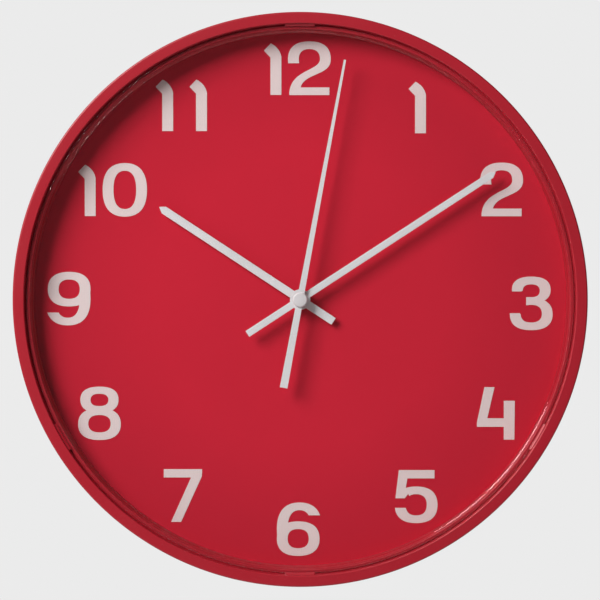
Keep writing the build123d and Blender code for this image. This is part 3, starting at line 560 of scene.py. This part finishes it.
class Finishes:
    """All the clock's materials, each built once."""

    def __init__(self) -> None:
        """Build the materials."""
        red = (0.385, 0.0100, 0.0218)
        finishes = (
            Finish("case_plastic", red, (0.365, 0.0093, 0.0200), 0.38, 0.06, grain_scale=2600.0,
                   grain_strength=0.22, dust=0.03, specular=0.4),
            # The dial print carries painted shade that darkens it towards its edge.
            DialPrintWithPaintedShade("dial_print", (0.585, 0.0140, 0.035), (0.565, 0.0135, 0.033), 0.70, 0.05,
                      grain_scale=3200.0, grain_depth=0.012, grain_strength=0.15, specular=0.05),
            Finish("numeral_ink", (0.745, 0.605, 0.595), (0.725, 0.590, 0.580), 0.6, 0.06,
                   grain_scale=3000.0, grain_depth=0.01, grain_strength=0.15, specular=0.2),
            Finish("hand_paint", (0.725, 0.70, 0.705), (0.695, 0.67, 0.675), 0.38, 0.08,
                   grain_scale=4200.0, grain_depth=0.01, grain_strength=0.2, coat=0.15, slow_scale=60.0),
            Finish("cap_paint", (0.70, 0.655, 0.66), (0.66, 0.615, 0.62), 0.32, 0.08, grain_scale=4200.0,
                   grain_depth=0.008, grain_strength=0.2, coat=0.25, slow_scale=120.0),
            Finish("carrier_plastic", (0.40, 0.014, 0.024), (0.36, 0.012, 0.021), 0.50, 0.08,
                   grain_scale=1500.0, grain_depth=0.03, grain_strength=0.3, dust=0.05),
            Finish("movement_plastic", (0.022, 0.022, 0.024), (0.03, 0.03, 0.032), 0.52, 0.1,
                   grain_scale=1800.0, grain_depth=0.03, grain_strength=0.35, dust=0.06, slow_scale=40.0),
            Finish("knob_plastic", (0.62, 0.60, 0.55), (0.58, 0.56, 0.51), 0.42, 0.08, grain_scale=2400.0,
                   slow_scale=80.0),
            Finish("bridge_plastic", (0.66, 0.64, 0.56), (0.62, 0.60, 0.52), 0.45, 0.08,
                   grain_scale=2400.0, slow_scale=80.0),
            Finish("gear_plastic", (0.80, 0.79, 0.74), (0.75, 0.74, 0.68), 0.35, 0.08, grain_scale=3000.0,
                   slow_scale=120.0),
            Finish("board_laminate", (0.20, 0.10, 0.035), (0.15, 0.075, 0.028), 0.55, 0.08,
                   grain_scale=1500.0, slow_scale=90.0),
            Finish("chip_resin", (0.010, 0.010, 0.011), (0.015, 0.015, 0.016), 0.22, 0.05,
                   grain_scale=900.0, slow_scale=150.0),
            Finish("magnet_iron", (0.06, 0.06, 0.062), (0.045, 0.045, 0.047), 0.4, 0.1, metallic=0.9,
                   slow_scale=200.0),
            TurnedMetal("screw_steel", (0.56, 0.56, 0.57), (0.48, 0.48, 0.47), 0.34, 0.1, metallic=1.0,
                        slow_scale=250.0),
            TurnedMetal("arbor_steel", (0.60, 0.60, 0.61), (0.54, 0.54, 0.55), 0.25, 0.08, metallic=1.0,
                        slow_scale=250.0),
            TurnedMetal("stator_steel", (0.42, 0.42, 0.43), (0.36, 0.36, 0.37), 0.42, 0.1, metallic=1.0,
                        slow_scale=120.0),
            TurnedMetal("collet_brass", (0.75, 0.52, 0.20), (0.68, 0.46, 0.17), 0.28, 0.08, metallic=1.0,
                        slow_scale=250.0),
            TurnedMetal("crystal_can", (0.66, 0.66, 0.67), (0.60, 0.60, 0.61), 0.26, 0.08, metallic=1.0,
                        slow_scale=250.0),
            TurnedMetal("contact_metal", (0.64, 0.62, 0.57), (0.58, 0.56, 0.51), 0.26, 0.1, metallic=1.0,
                        slow_scale=120.0),
            WoundWire("winding_copper", (0.55, 0.20, 0.07), (0.47, 0.16, 0.055), 0.30, 0.06, metallic=0.8,
                      grain_depth=0.02, grain_strength=0.6),
            BandedSleeve("battery_sleeve", (0.055, 0.065, 0.075), (0.045, 0.055, 0.065), 0.30, 0.06,
                         grain_scale=3000.0, grain_depth=0.006, coat=0.5, slow_scale=40.0),
            ClearPlastic("lens_plastic"),
        )
        self.by_name = {finish.name: finish.build() for finish in finishes}

    def __getitem__(self, name: str) -> bpy.types.Material:
        """Return the material of a slot."""
        return self.by_name[name]


# ------------------------------------------------------------------ mesh helpers
def put(radius: float, height: float) -> Vector:
    """Return the point of the section plane at a radius and a height, in metres."""
    return Vector((radius * MM, -height * MM, 0.0))


def section_loop(bm: bmesh.types.BMesh, section: Section, segments: int = 5) -> list[bmesh.types.BMVert]:
    """Draw a closed section with rounded corners and leave only its edges.

    Args:
        bm: The mesh to draw in.
        section: Corners as radius, height and length of rounding along each side.
        segments: Steps of each rounding.

    Returns:
        The vertices and edges of the outline.
    """
    corners = [bm.verts.new(put(radius, height)) for radius, height, _ in section]
    bm.faces.new(corners)
    for corner, (_, _, rounding) in zip(corners, section):
        if rounding:
            bmesh.ops.bevel(bm, geom=[corner], offset=rounding * MM, segments=segments, profile=0.5,
                            affect="VERTICES", material=-1)
    bmesh.ops.delete(bm, geom=bm.faces[:], context="FACES_ONLY")
    return bm.verts[:] + bm.edges[:]


def close_up(bm: bmesh.types.BMesh) -> None:
    """Merge doubles and turn every face outwards.

    Args:
        bm: The mesh to close.
    """
    bmesh.ops.remove_doubles(bm, verts=bm.verts, dist=1e-6)
    bmesh.ops.dissolve_degenerate(bm, edges=bm.edges, dist=1e-7)
    bmesh.ops.recalc_face_normals(bm, faces=bm.faces)


def turned(section: Section, steps: int = ROUND_STEPS, segments: int = 5) -> bmesh.types.BMesh:
    """Spin a section round the clock's axis.

    Args:
        section: Corners as radius, height and rounding. Corners on the axis have radius 0.
        steps: Steps of the full turn.
        segments: Steps of each rounding.

    Returns:
        The closed mesh.
    """
    bm = bmesh.new()
    outline = section_loop(bm, section, segments)
    bmesh.ops.spin(bm, geom=outline, cent=(0, 0, 0), axis=CLOCK_AXIS, angle=math.tau, steps=steps,
                   use_merge=True)
    close_up(bm)
    return bm


def turn_about(bm: bmesh.types.BMesh, axis: str, angle: float) -> None:
    """Turn a whole mesh about one of the frame's axes, by an angle in radians."""
    bmesh.ops.rotate(bm, cent=(0, 0, 0), matrix=Matrix.Rotation(angle, 3, axis), verts=bm.verts)


def block(
    low: Sequence[float], high: Sequence[float], round_off: float = 0.2, segments: int = 2
) -> bmesh.types.BMesh:
    """Make a box with softened edges.

    Args:
        low: Lowest X, height and Z.
        high: Highest X, height and Z.
        round_off: Width of the edge rounding.
        segments: Steps of the rounding.

    Returns:
        The mesh.
    """
    bm = bmesh.new()
    bmesh.ops.create_cube(bm, size=1.0)
    size = [(b - a) * MM for a, b in zip(low, high)]
    middle = [(a + b) / 2 * MM for a, b in zip(low, high)]
    bmesh.ops.scale(bm, vec=size, verts=bm.verts)
    bmesh.ops.translate(bm, vec=(middle[0], -middle[1], middle[2]), verts=bm.verts)
    if round_off:
        bmesh.ops.bevel(bm, geom=bm.edges[:], offset=round_off * MM, segments=segments, profile=0.5,
                        affect="EDGES", material=-1)
    return bm


def gather(meshes: Iterable[bmesh.types.BMesh]) -> bmesh.types.BMesh:
    """Join several meshes into one and free them.

    Args:
        meshes: The meshes, which are freed.

    Returns:
        The joined mesh.
    """
    whole = bmesh.new()
    for bm in meshes:
        part = bpy.data.meshes.new("part")
        bm.to_mesh(part)
        whole.from_mesh(part)
        bpy.data.meshes.remove(part)
        bm.free()
    return whole


def finish_piece(
    bm: bmesh.types.BMesh,
    name: str,
    body: Body,
    slot: str,
    finishes: Finishes,
    stands_for: Sequence[str] = (),
) -> bpy.types.Object:
    """Turn a mesh into a dressed piece that rides on its body.

    Args:
        bm: The mesh, which is freed.
        name: Name of the piece.
        body: Body that the piece rides on.
        slot: Material slot of the record, which names the finish too.
        finishes: The clock's materials.
        stands_for: CAD nodes that the piece replaces.

    Returns:
        The object.
    """
    for face in bm.faces:
        face.smooth = True
    mesh = bpy.data.meshes.new(name)
    bm.to_mesh(mesh)
    bm.free()
    mesh.set_sharp_from_angle(angle=SMOOTH_ANGLE)
    mesh.materials.append(finishes[slot])
    piece = bpy.data.objects.new(name, mesh)
    bpy.context.scene.collection.objects.link(piece)
    weighted = piece.modifiers.new("flat_faces", "WEIGHTED_NORMAL")
    weighted.keep_sharp = True
    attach(piece, body.value)
    if stands_for:
        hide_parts(*stands_for)
    LOG.info("%s: %d faces, rides on %s", name, len(mesh.polygons), body.value)
    return piece


def softened(node: str, width: float, segments: int = 2, sharp_from: float = 35.0) -> bmesh.types.BMesh:
    """Copy a CAD node's mesh and round its sharp edges.

    Args:
        node: Name of the CAD node.
        width: Width of the rounding.
        segments: Steps of the rounding.
        sharp_from: Least angle, in degrees, of an edge that is rounded.

    Returns:
        The softened mesh.
    """
    bm = bmesh.new()
    bm.from_mesh(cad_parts[node].data)
    bmesh.ops.remove_doubles(bm, verts=bm.verts, dist=2e-6)
    bmesh.ops.dissolve_limit(bm, angle_limit=math.radians(0.6), verts=bm.verts, edges=bm.edges)
    sharp = [edge for edge in bm.edges if len(edge.link_faces) == 2
             and edge.calc_face_angle(0.0) > math.radians(sharp_from)]
    bmesh.ops.bevel(bm, geom=sharp, offset=width * MM, segments=segments, profile=0.5, affect="EDGES",
                    clamp_overlap=True, material=-1)
    return bm


def dress(node: str, material: bpy.types.Material) -> None:
    """Give a CAD node that stays as it is its finish.

    Args:
        node: Name of the CAD node.
        material: The finish.
    """
    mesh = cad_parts[node].data
    mesh.materials.clear()
    mesh.materials.append(material)
    LOG.info("%s: kept from the frame", node)


# ------------------------------------------------------------------ sub-assemblies
@dataclass
class CaseRing:
    """The moulded rim and side wall, with its lens pocket, screw bosses and snap tabs."""

    outer: float = 140.0
    rear_outer: float = 138.2
    depth: float = 40.0
    pocket: float = 134.0
    relief: float = 0.9
    relief_width: float = 0.7
    shelf: float = 36.8
    throat: float = 131.8
    throat_rear: float = 131.2
    dial_front: float = 25.0
    inner_wall: float = 132.8
    groove: float = 34.4
    wall: float = 1.8
    rim_round: float = 0.9
    rim_inner: float = 134.5
    rim_inner_round: float = 0.4
    tab_hours: tuple[int, ...] = (12, 4, 6, 8)
    tab_length: float = 14.5
    tab_lift: float = 0.9
    tab_thickness: float = 0.9
    tab_lap: float = 0.9
    tab_slope: Sequence[tuple[float, float]] = ((-0.9, 0.25), (-0.35, 0.7), (0.1, 0.9))
    tab_edge: float = 0.12
    screw_count: int = 6
    screw_circle: float = 135.0
    boss: float = 2.0
    boss_bore: float = 1.05
    boss_rear: float = 24.2
    boss_sink: float = 0.3

    def shell(self) -> bmesh.types.BMesh:
        """Return the ring spun from its section."""
        return turned(
            (
                (self.rear_outer, 0.0, 0.4),
                (self.outer, self.depth, self.rim_round),
                (self.rim_inner, self.depth, self.rim_inner_round),
                (self.pocket, self.shelf - self.relief, 0.2),
                (self.pocket - self.relief_width, self.shelf - self.relief, 0.2),
                (self.pocket - self.relief_width, self.shelf, 0.1),
                (self.throat, self.shelf, 0.3),
                (self.throat_rear, self.dial_front, 0.15),
                (self.inner_wall, self.dial_front, 0.15),
                (self.inner_wall, self.groove, 0.6),
                (self.rear_outer, self.groove, 0.6),
                (self.rear_outer - self.wall, 0.0, 0.4),
            ),
            steps=480,
        )

    def bosses(self) -> bmesh.types.BMesh:
        """Make the screw bosses that stand in the groove.

        Returns:
            The bosses, as one mesh.
        """
        front = self.groove + self.boss_sink
        made = []
        for number in range(self.screw_count):
            bm = turned(
                (
                    (self.boss_bore, self.boss_rear, 0.1),
                    (self.boss, self.boss_rear, 0.3),
                    (self.boss, front, 0.0),
                    (self.boss_bore, front, 0.0),
                ),
                steps=28,
                segments=2,
            )
            bmesh.ops.translate(bm, vec=(self.screw_circle * MM, 0, 0), verts=bm.verts)
            turn_about(bm, "Y", math.tau * number / self.screw_count)
            made.append(bm)
        return gather(made)

    def tabs(self) -> bmesh.types.BMesh:
        """Make the snap tabs, each a short curved lip over the lens's flange.

        Returns:
            The tabs, as one mesh.
        """
        angle = self.tab_length / self.pocket
        low = self.shelf + self.tab_lift
        lap = self.tab_lap
        outline = ((lap, 0.0), (-lap, 0.0), *self.tab_slope, (lap, self.tab_thickness))
        made = []
        for hour in self.tab_hours:
            bm = bmesh.new()
            corners = [bm.verts.new(put(self.pocket + past, low + rise)) for past, rise in outline]
            face = bm.faces.new(corners)
            bmesh.ops.spin(bm, geom=[face], cent=(0, 0, 0), axis=CLOCK_AXIS, angle=angle, steps=16)
            close_up(bm)
            turn_about(bm, "Y", math.radians(30 * hour - 90) - angle / 2)
            ends = [edge for edge in bm.edges if edge.calc_face_angle(0.0) > math.radians(50)]
            bmesh.ops.bevel(bm, geom=ends, offset=self.tab_edge * MM, segments=2, profile=0.5,
                            affect="EDGES", material=-1)
            made.append(bm)
        return gather(made)

    def build(self, finishes: Finishes) -> None:
        """Build and dress the ring.

        Args:
            finishes: The clock's materials.
        """
        ring = gather((self.shell(), self.bosses()))
        finish_piece(ring, "case_ring_moulding", Body.CASE, "case_plastic", finishes, ("case_ring",))
        finish_piece(self.tabs(), "lens_snap_tabs", Body.CASE, "case_plastic", finishes)


@dataclass
class Lens:
    """The clear window: a flat disc with a raised bead, ribbed all round, inside a thin flange."""

    rear: float = 36.8
    window: float = 1.2
    bead: float = 1.6
    flange: float = 0.8
    bead_inner: float = 130.8
    bead_outer: float = 133.0
    flange_radius: float = 133.5
    hollow_radius: float = 3.0
    hollow_steps: int = 7
    rib_count: int = 900
    rib_depth: float = 0.05
    slack: float = 0.01

    def hollow(self) -> list[tuple[float, float, float]]:
        """Work out the hollow curve from the bead down to the window.

        Returns:
            The curve's points, as section corners.
        """
        rise = self.bead - self.window
        steepest = math.acos(1 - rise / self.hollow_radius)
        foot = self.bead_inner - self.hollow_radius * math.sin(steepest)
        corners = []
        for step in range(self.hollow_steps, -1, -1):
            turn = steepest * step / self.hollow_steps
            radius = foot + self.hollow_radius * math.sin(turn)
            corners.append((radius, self.rear + self.window + self.hollow_radius * (1 - math.cos(turn)), 0.0))
        return corners

    def body(self) -> bmesh.types.BMesh:
        """Make the lens, with the ribs pressed into its bead.

        Returns:
            The mesh.
        """
        top = self.rear + self.bead
        window = self.rear + self.window
        inner, outer = self.bead_inner + 0.15, self.bead_outer - 0.3
        bm = turned(
            (
                (0.0, self.rear, 0.0),
                (self.flange_radius - 2.0, self.rear, 0.0),
                (self.flange_radius, self.rear, 0.12),
                (self.flange_radius, self.rear + self.flange, 0.15),
                (self.bead_outer, self.rear + self.flange, 0.1),
                (self.bead_outer, top, 0.2),
                (outer, top, 0.0),
                (inner, top, 0.0),
                *self.hollow(),
                (self.bead_inner - 4.0, window, 0.0),
                (0.0, window, 0.0),
            ),
            steps=self.rib_count * 2,
            segments=3,
        )
        pitch = math.tau / (self.rib_count * 2)
        for vert in bm.verts:
            radius = math.hypot(vert.co.x, vert.co.z) / MM
            on_front = abs(-vert.co.y / MM - top) < self.slack
            if on_front and inner - self.slack < radius < outer + self.slack:
                number = round(math.atan2(vert.co.z, vert.co.x) / pitch)
                if number % 2:
                    vert.co.y += self.rib_depth * MM
        return bm

    def build(self, finishes: Finishes) -> None:
        """Build and dress the lens."""
        finish_piece(self.body(), "lens_window", Body.CASE, "lens_plastic", finishes, ("lens",))


@dataclass
class Dial:
    """The printed dial sheet and its numerals."""

    radius: float = 132.6
    hole: float = 4.1
    rear: float = 24.2
    thickness: float = 0.8

    def build(self, finishes: Finishes) -> None:
        """Build and dress the dial, and dress the numerals.

        Args:
            finishes: The clock's materials.
        """
        front = self.rear + self.thickness
        sheet = turned(((self.hole, self.rear, 0.0), (self.radius, self.rear, 0.0), (self.radius, front, 0.0),
                        (self.hole, front, 0.08)), segments=2)
        finish_piece(sheet, "dial_sheet", Body.CASE, "dial_print", finishes, ("dial",))
        dress("numerals", finishes["numeral_ink"])


@dataclass
class Hands:
    """The three hands, their collets and the cap."""

    edge: float = 0.13
    cap_radius: float = 3.65
    cap_rear: float = 34.0
    cap_front: float = 35.6
    tube_rear: float = 32.4
    tube: float = 1.1
    bore: float = 0.5

    def cap(self) -> bmesh.types.BMesh:
        """Return the cap: a rounded disc on a short tube."""
        return turned(
            (
                (0.0, self.cap_front, 0.0),
                (self.cap_radius, self.cap_front - 0.12, 0.75),
                (self.cap_radius, self.cap_rear, 0.12),
                (self.tube, self.cap_rear, 0.0),
                (self.tube, self.tube_rear, 0.1),
                (self.bore, self.tube_rear, 0.1),
                (self.bore, self.cap_front - 1.0, 0.0),
                (0.0, self.cap_front - 1.0, 0.0),
            ),
            steps=96,
            segments=6,
        )

    def build(self, finishes: Finishes) -> None:
        """Build and dress the hands.

        Args:
            finishes: The clock's materials.
        """
        for body in (Body.HOUR, Body.MINUTE, Body.SECOND):
            blade = softened(body.value, self.edge)
            finish_piece(blade, f"{body.value}_blade", body, "hand_paint", finishes, (body.value,))
        cap = self.cap()
        finish_piece(cap, "second_hand_button", Body.SECOND, "cap_paint", finishes, ("second_hand_cap",))
        for node in ("hour_hand_collet", "minute_hand_collet"):
            dress(node, finishes["collet_brass"])


@dataclass
class BackPlate:
    """The carrier plate behind the dial, and its screws."""

    edge: float = 0.25
    screw_edge: float = 0.15

    def build(self, finishes: Finishes) -> None:
        """Build and dress the plate and screws.

        Args:
            finishes: The clock's materials.
        """
        plate, plastic = softened("carrier_plate", self.edge), "carrier_plastic"
        finish_piece(plate, "carrier_plate_moulding", Body.CASE, plastic, finishes, ("carrier_plate",))
        screws = softened("case_screws", self.screw_edge)
        finish_piece(screws, "case_screw_set", Body.CASE, "screw_steel", finishes, ("case_screws",))


@dataclass
class Movement:
    """The quartz movement: housing, knob, gear train, motor and circuit."""

    cover_rear: float = 7.4
    knob_x: float = 11.5
    mark: float = 0.25
    arc_inner: float = 7.2
    arc_outer: float = 8.0
    arc_sweep: float = 110.0
    arrow: float = 1.9
    bars: Sequence[tuple[float, ...]] = (
        (21.0, 24.0, -9.35, -8.65), (22.15, 22.85, -10.5, -7.5), (-24.0, -21.0, -9.35, -8.65))
    bar_sink: float = 0.05
    bar_edge: float = 0.08
    case_edge: float = 0.2
    cover_edge: float = 0.35
    kept: dict[str, str] = field(default_factory=lambda: {
        "gear_bridge": "bridge_plastic", "seconds_arbor": "arbor_steel", "seconds_wheel": "gear_plastic",
        "third_wheel": "gear_plastic", "centre_wheel": "gear_plastic", "clutch_spring": "contact_metal",
        "minute_pinion": "gear_plastic", "minute_wheel": "gear_plastic", "hour_wheel": "gear_plastic",
        "intermediate_wheel": "gear_plastic", "rotor_pinion": "gear_plastic", "rotor_magnet": "magnet_iron",
        "stator_plate": "stator_steel", "coil_core": "stator_steel", "coil_bobbin": "bridge_plastic",
        "coil_winding": "winding_copper", "circuit_board": "board_laminate", "circuit_chip": "chip_resin",
        "quartz_crystal": "crystal_can", "positive_contact": "contact_metal",
        "negative_contact": "contact_metal",
    })

    def turn_mark(self) -> bmesh.types.BMesh:
        """Make the raised arc with an arrow head beside the knob.

        Returns:
            The mesh.
        """
        bm = bmesh.new()
        low, high = self.cover_rear, self.cover_rear - self.mark
        inner, outer = self.arc_inner, self.arc_outer
        outline = ((inner, low), (outer, low), (outer, high), (inner, high))
        face = bm.faces.new([bm.verts.new(put(radius, height)) for radius, height in outline])
        sweep = math.radians(self.arc_sweep)
        bmesh.ops.spin(bm, geom=[face], cent=(0, 0, 0), axis=CLOCK_AXIS, angle=sweep, steps=24)
        head = bmesh.ops.create_cone(bm, cap_ends=True, segments=3, radius1=self.arrow * MM,
                                     radius2=self.arrow * MM, depth=self.mark * MM)["verts"]
        bmesh.ops.rotate(bm, cent=(0, 0, 0), matrix=Matrix.Rotation(math.pi / 2, 3, "X"), verts=head)
        bmesh.ops.translate(bm, vec=put((inner + outer) / 2, (low + high) / 2), verts=head)
        close_up(bm)
        bmesh.ops.translate(bm, vec=(self.knob_x * MM, 0, 0), verts=bm.verts)
        return bm

    def cell_marks(self) -> bmesh.types.BMesh:
        """Make the raised plus and minus signs above the battery bay.

        Returns:
            The mesh.
        """
        low, high = self.cover_rear - self.mark, self.cover_rear + self.bar_sink
        return gather(
            block((left, low, bottom), (right, high, top), self.bar_edge)
            for left, right, bottom, top in self.bars
        )

    def build(self, finishes: Finishes) -> None:
        """Build and dress the movement.

        Args:
            finishes: The clock's materials.
        """
        for node, edge in (("movement_case", self.case_edge), ("movement_cover", self.cover_edge)):
            shell = softened(node, edge)
            finish_piece(shell, f"{node}_moulding", Body.CASE, "movement_plastic", finishes, (node,))
        marks = gather((self.turn_mark(), self.cell_marks()))
        finish_piece(marks, "cover_marks", Body.CASE, "movement_plastic", finishes)
        knob, name = softened("setting_knob", self.case_edge), "setting_knob_moulding"
        finish_piece(knob, name, Body.MINUTE_WHEEL, "knob_plastic", finishes, ("setting_knob",))
        for node, slot in self.kept.items():
            dress(node, finishes[slot])


@dataclass
class Battery:
    """One AA cell: a metal can in a plain printed sleeve."""

    left: float = -24.6
    right: float = 24.9
    nub: float = 1.0
    nub_radius: float = 2.7
    radius: float = 7.1
    height: float = 13.3
    z: float = -19.5

    def along(self, section: Section, steps: int = 96) -> bmesh.types.BMesh:
        """Spin a section and lay it along the cell's own axis.

        Args:
            section: Corners as radius, position along the cell and rounding.
            steps: Steps of the turn.

        Returns:
            The mesh.
        """
        bm = turned(section, steps=steps, segments=4)
        turn_about(bm, "Z", math.pi / 2)
        bmesh.ops.translate(bm, vec=(0, -self.height * MM, self.z * MM), verts=bm.verts)
        return bm

    def can(self) -> bmesh.types.BMesh:
        """Return the metal can with its crimp ring and nub."""
        return self.along((
            (0.0, self.left, 0.0), (5.6, self.left, 0.25), (5.8, self.left + 0.45, 0.1),
            (6.9, self.left + 0.45, 0.3), (6.9, self.right - 0.3, 0.5), (4.6, self.right - 0.3, 0.1),
            (4.4, self.right, 0.1), (self.nub_radius, self.right, 0.15),
            (self.nub_radius, self.right + self.nub, 0.35), (0.0, self.right + self.nub, 0.0),
        ))

    def sleeve(self) -> bmesh.types.BMesh:
        """Return the sleeve, rolled over both shoulders of the can."""
        return self.along((
            (5.9, self.left, 0.05), (self.radius, self.left, 0.5), (self.radius, self.right, 0.5),
            (5.4, self.right, 0.05), (5.4, self.right - 0.12, 0.0), (6.95, self.right - 0.12, 0.4),
            (6.95, self.left + 0.12, 0.4), (5.9, self.left + 0.12, 0.0),
        ))

    def build(self, finishes: Finishes) -> None:
        """Build and dress the cell.

        Args:
            finishes: The clock's materials.
        """
        sleeve, slot = self.sleeve(), "battery_sleeve"
        finish_piece(sleeve, "battery_sleeve_wrap", Body.BATTERY, slot, finishes, ("battery",))
        finish_piece(self.can(), "battery_can", Body.BATTERY, "contact_metal", finishes)


# ------------------------------------------------------------------ studio
@dataclass
class Studio:
    """Camera, lamps, floor and the air round them. Lengths here are metres."""

    camera_distance: float = 1.5
    frame_width: float = 0.2918
    sensor: float = 0.036
    camera_left: float = -0.4
    camera_up: float = 1.2
    key_distance: float = 1.8
    key_size: float = 0.95
    key_power: float = 41.5
    key_off_normal: float = 49.5
    key_above_level: float = 40.0
    side_fill: float = 0.20
    front_fill: float = 0.065
    backdrop: float = 0.831
    rear_lamps: Sequence[tuple[str, tuple[float, float, float], float]] = (
        ("rear_left", (-0.9, 1.7, 0.8), 22.0), ("rear_right", (1.1, 1.6, 0.1), 9.0))
    rear_size: float = 0.8
    floor_drop: float = 0.8
    floor_radius: float = 2.2

    def camera(self) -> None:
        """Place the camera, almost square on to the rim."""
        target = Vector((0.0, CAD_BOX[0][1], 0.0))
        turn = Matrix.Rotation(-math.radians(self.camera_left), 3, "Z") @ Matrix.Rotation(
            -math.radians(self.camera_up), 3, "X")
        data = bpy.data.cameras.new("camera")
        data.sensor_width = self.sensor * 1000
        data.lens = self.sensor * 1000 * self.camera_distance / self.frame_width
        data.clip_end = 30.0
        camera = bpy.data.objects.new("camera", data)
        camera.location = target + turn @ Vector((0.0, -self.camera_distance, 0.0))
        camera.rotation_euler = (target - camera.location).to_track_quat("-Z", "Y").to_euler()
        bpy.context.scene.collection.objects.link(camera)
        bpy.context.scene.camera = camera

    def lamp(self, name: str, place: Vector, target: Vector, size: float, power: float) -> bpy.types.Object:
        """Add a round soft lamp.

        Args:
            name: Name of the lamp.
            place: Where it hangs.
            target: Where it points.
            size: Its diameter.
            power: Its power in watts.

        Returns:
            The lamp.
        """
        data = bpy.data.lights.new(name, "AREA")
        data.shape = "DISK"
        data.size = size
        data.energy = power
        lamp = bpy.data.objects.new(name, data)
        lamp.location = place
        lamp.rotation_euler = (target - place).to_track_quat("-Z", "Y").to_euler()
        lamp.visible_camera = False
        bpy.context.scene.collection.objects.link(lamp)
        return lamp

    def lamps(self) -> None:
        """Hang the key lamp at the upper left and two soft lamps behind."""
        tilt, rise = math.radians(self.key_off_normal), math.radians(self.key_above_level)
        towards = Vector((-math.sin(tilt) * math.cos(rise), -math.cos(tilt), math.sin(tilt) * math.sin(rise)))
        self.lamp("key", towards * self.key_distance, Vector((0, 0, 0)), self.key_size, self.key_power)
        for name, place, power in self.rear_lamps:
            rear = self.lamp(name, Vector(place), Vector((0, 0, 0)), self.rear_size, power)
            rear.visible_glossy = False

    def air(self) -> None:
        """Set the soft fill and the pale backdrop that the camera sees."""
        world = bpy.data.worlds.new("studio")
        bpy.context.scene.world = world
        world.use_nodes = True
        world.node_tree.nodes.clear()
        tree = Tree(world.node_tree)
        grey = rgba((self.backdrop, self.backdrop, self.backdrop))
        seen = tree.add("ShaderNodeBackground", {"Color": grey, "Strength": 1.0})
        ahead = tree.add("ShaderNodeTexCoord").outputs["Generated"]
        facing = tree.add("ShaderNodeVectorMath", {0: ahead, 1: (0.0, -1.0, 0.0)}, operation="DOT_PRODUCT")
        strength = tree.spread(facing.outputs["Value"], 0.35, 0.55, self.side_fill, self.front_fill)
        fill = tree.add("ShaderNodeBackground", {"Color": rgba((1.0, 0.99, 0.99)), "Strength": strength})
        camera_ray = tree.add("ShaderNodeLightPath").outputs["Is Camera Ray"]
        mixed = tree.add("ShaderNodeMixShader", {0: camera_ray, 1: fill.outputs[0], 2: seen.outputs[0]})
        output = tree.add("ShaderNodeOutputWorld")
        world.node_tree.links.new(mixed.outputs[0], output.inputs["Surface"])

    def floor(self) -> None:
        """Lay the pale floor well below the clock."""
        bm = bmesh.new()
        bmesh.ops.create_circle(bm, cap_ends=True, segments=64, radius=self.floor_radius)
        bmesh.ops.translate(bm, vec=(0, 0, -self.floor_drop), verts=bm.verts)
        mesh = bpy.data.meshes.new("floor")
        bm.to_mesh(mesh)
        bm.free()
        pale, paler = (0.72, 0.72, 0.72), (0.74, 0.74, 0.74)
        paper = FloorPaper("floor_paper", paler, pale, 0.8, 0.05, grain_scale=200.0, slow_scale=2.0)
        mesh.materials.append(paper.build())
        floor = bpy.data.objects.new("floor", mesh)
        bpy.context.scene.collection.objects.link(floor)

    def build(self) -> None:
        """Set up the studio."""
        self.camera()
        self.lamps()
        self.air()
        self.floor()
        bpy.context.scene.view_settings.view_transform = "Standard"


def main() -> None:
    """Build the studio and every sub-assembly."""
    logging.basicConfig(level=logging.INFO, format="%(message)s")
    Studio().build()
    finishes = Finishes()
    for assembly in (CaseRing(), Lens(), Dial(), Hands(), BackPlate(), Movement(), Battery()):
        LOG.info("-- %s", type(assembly).__name__)
        assembly.build(finishes)


if __name__ == "__main__":
    main()
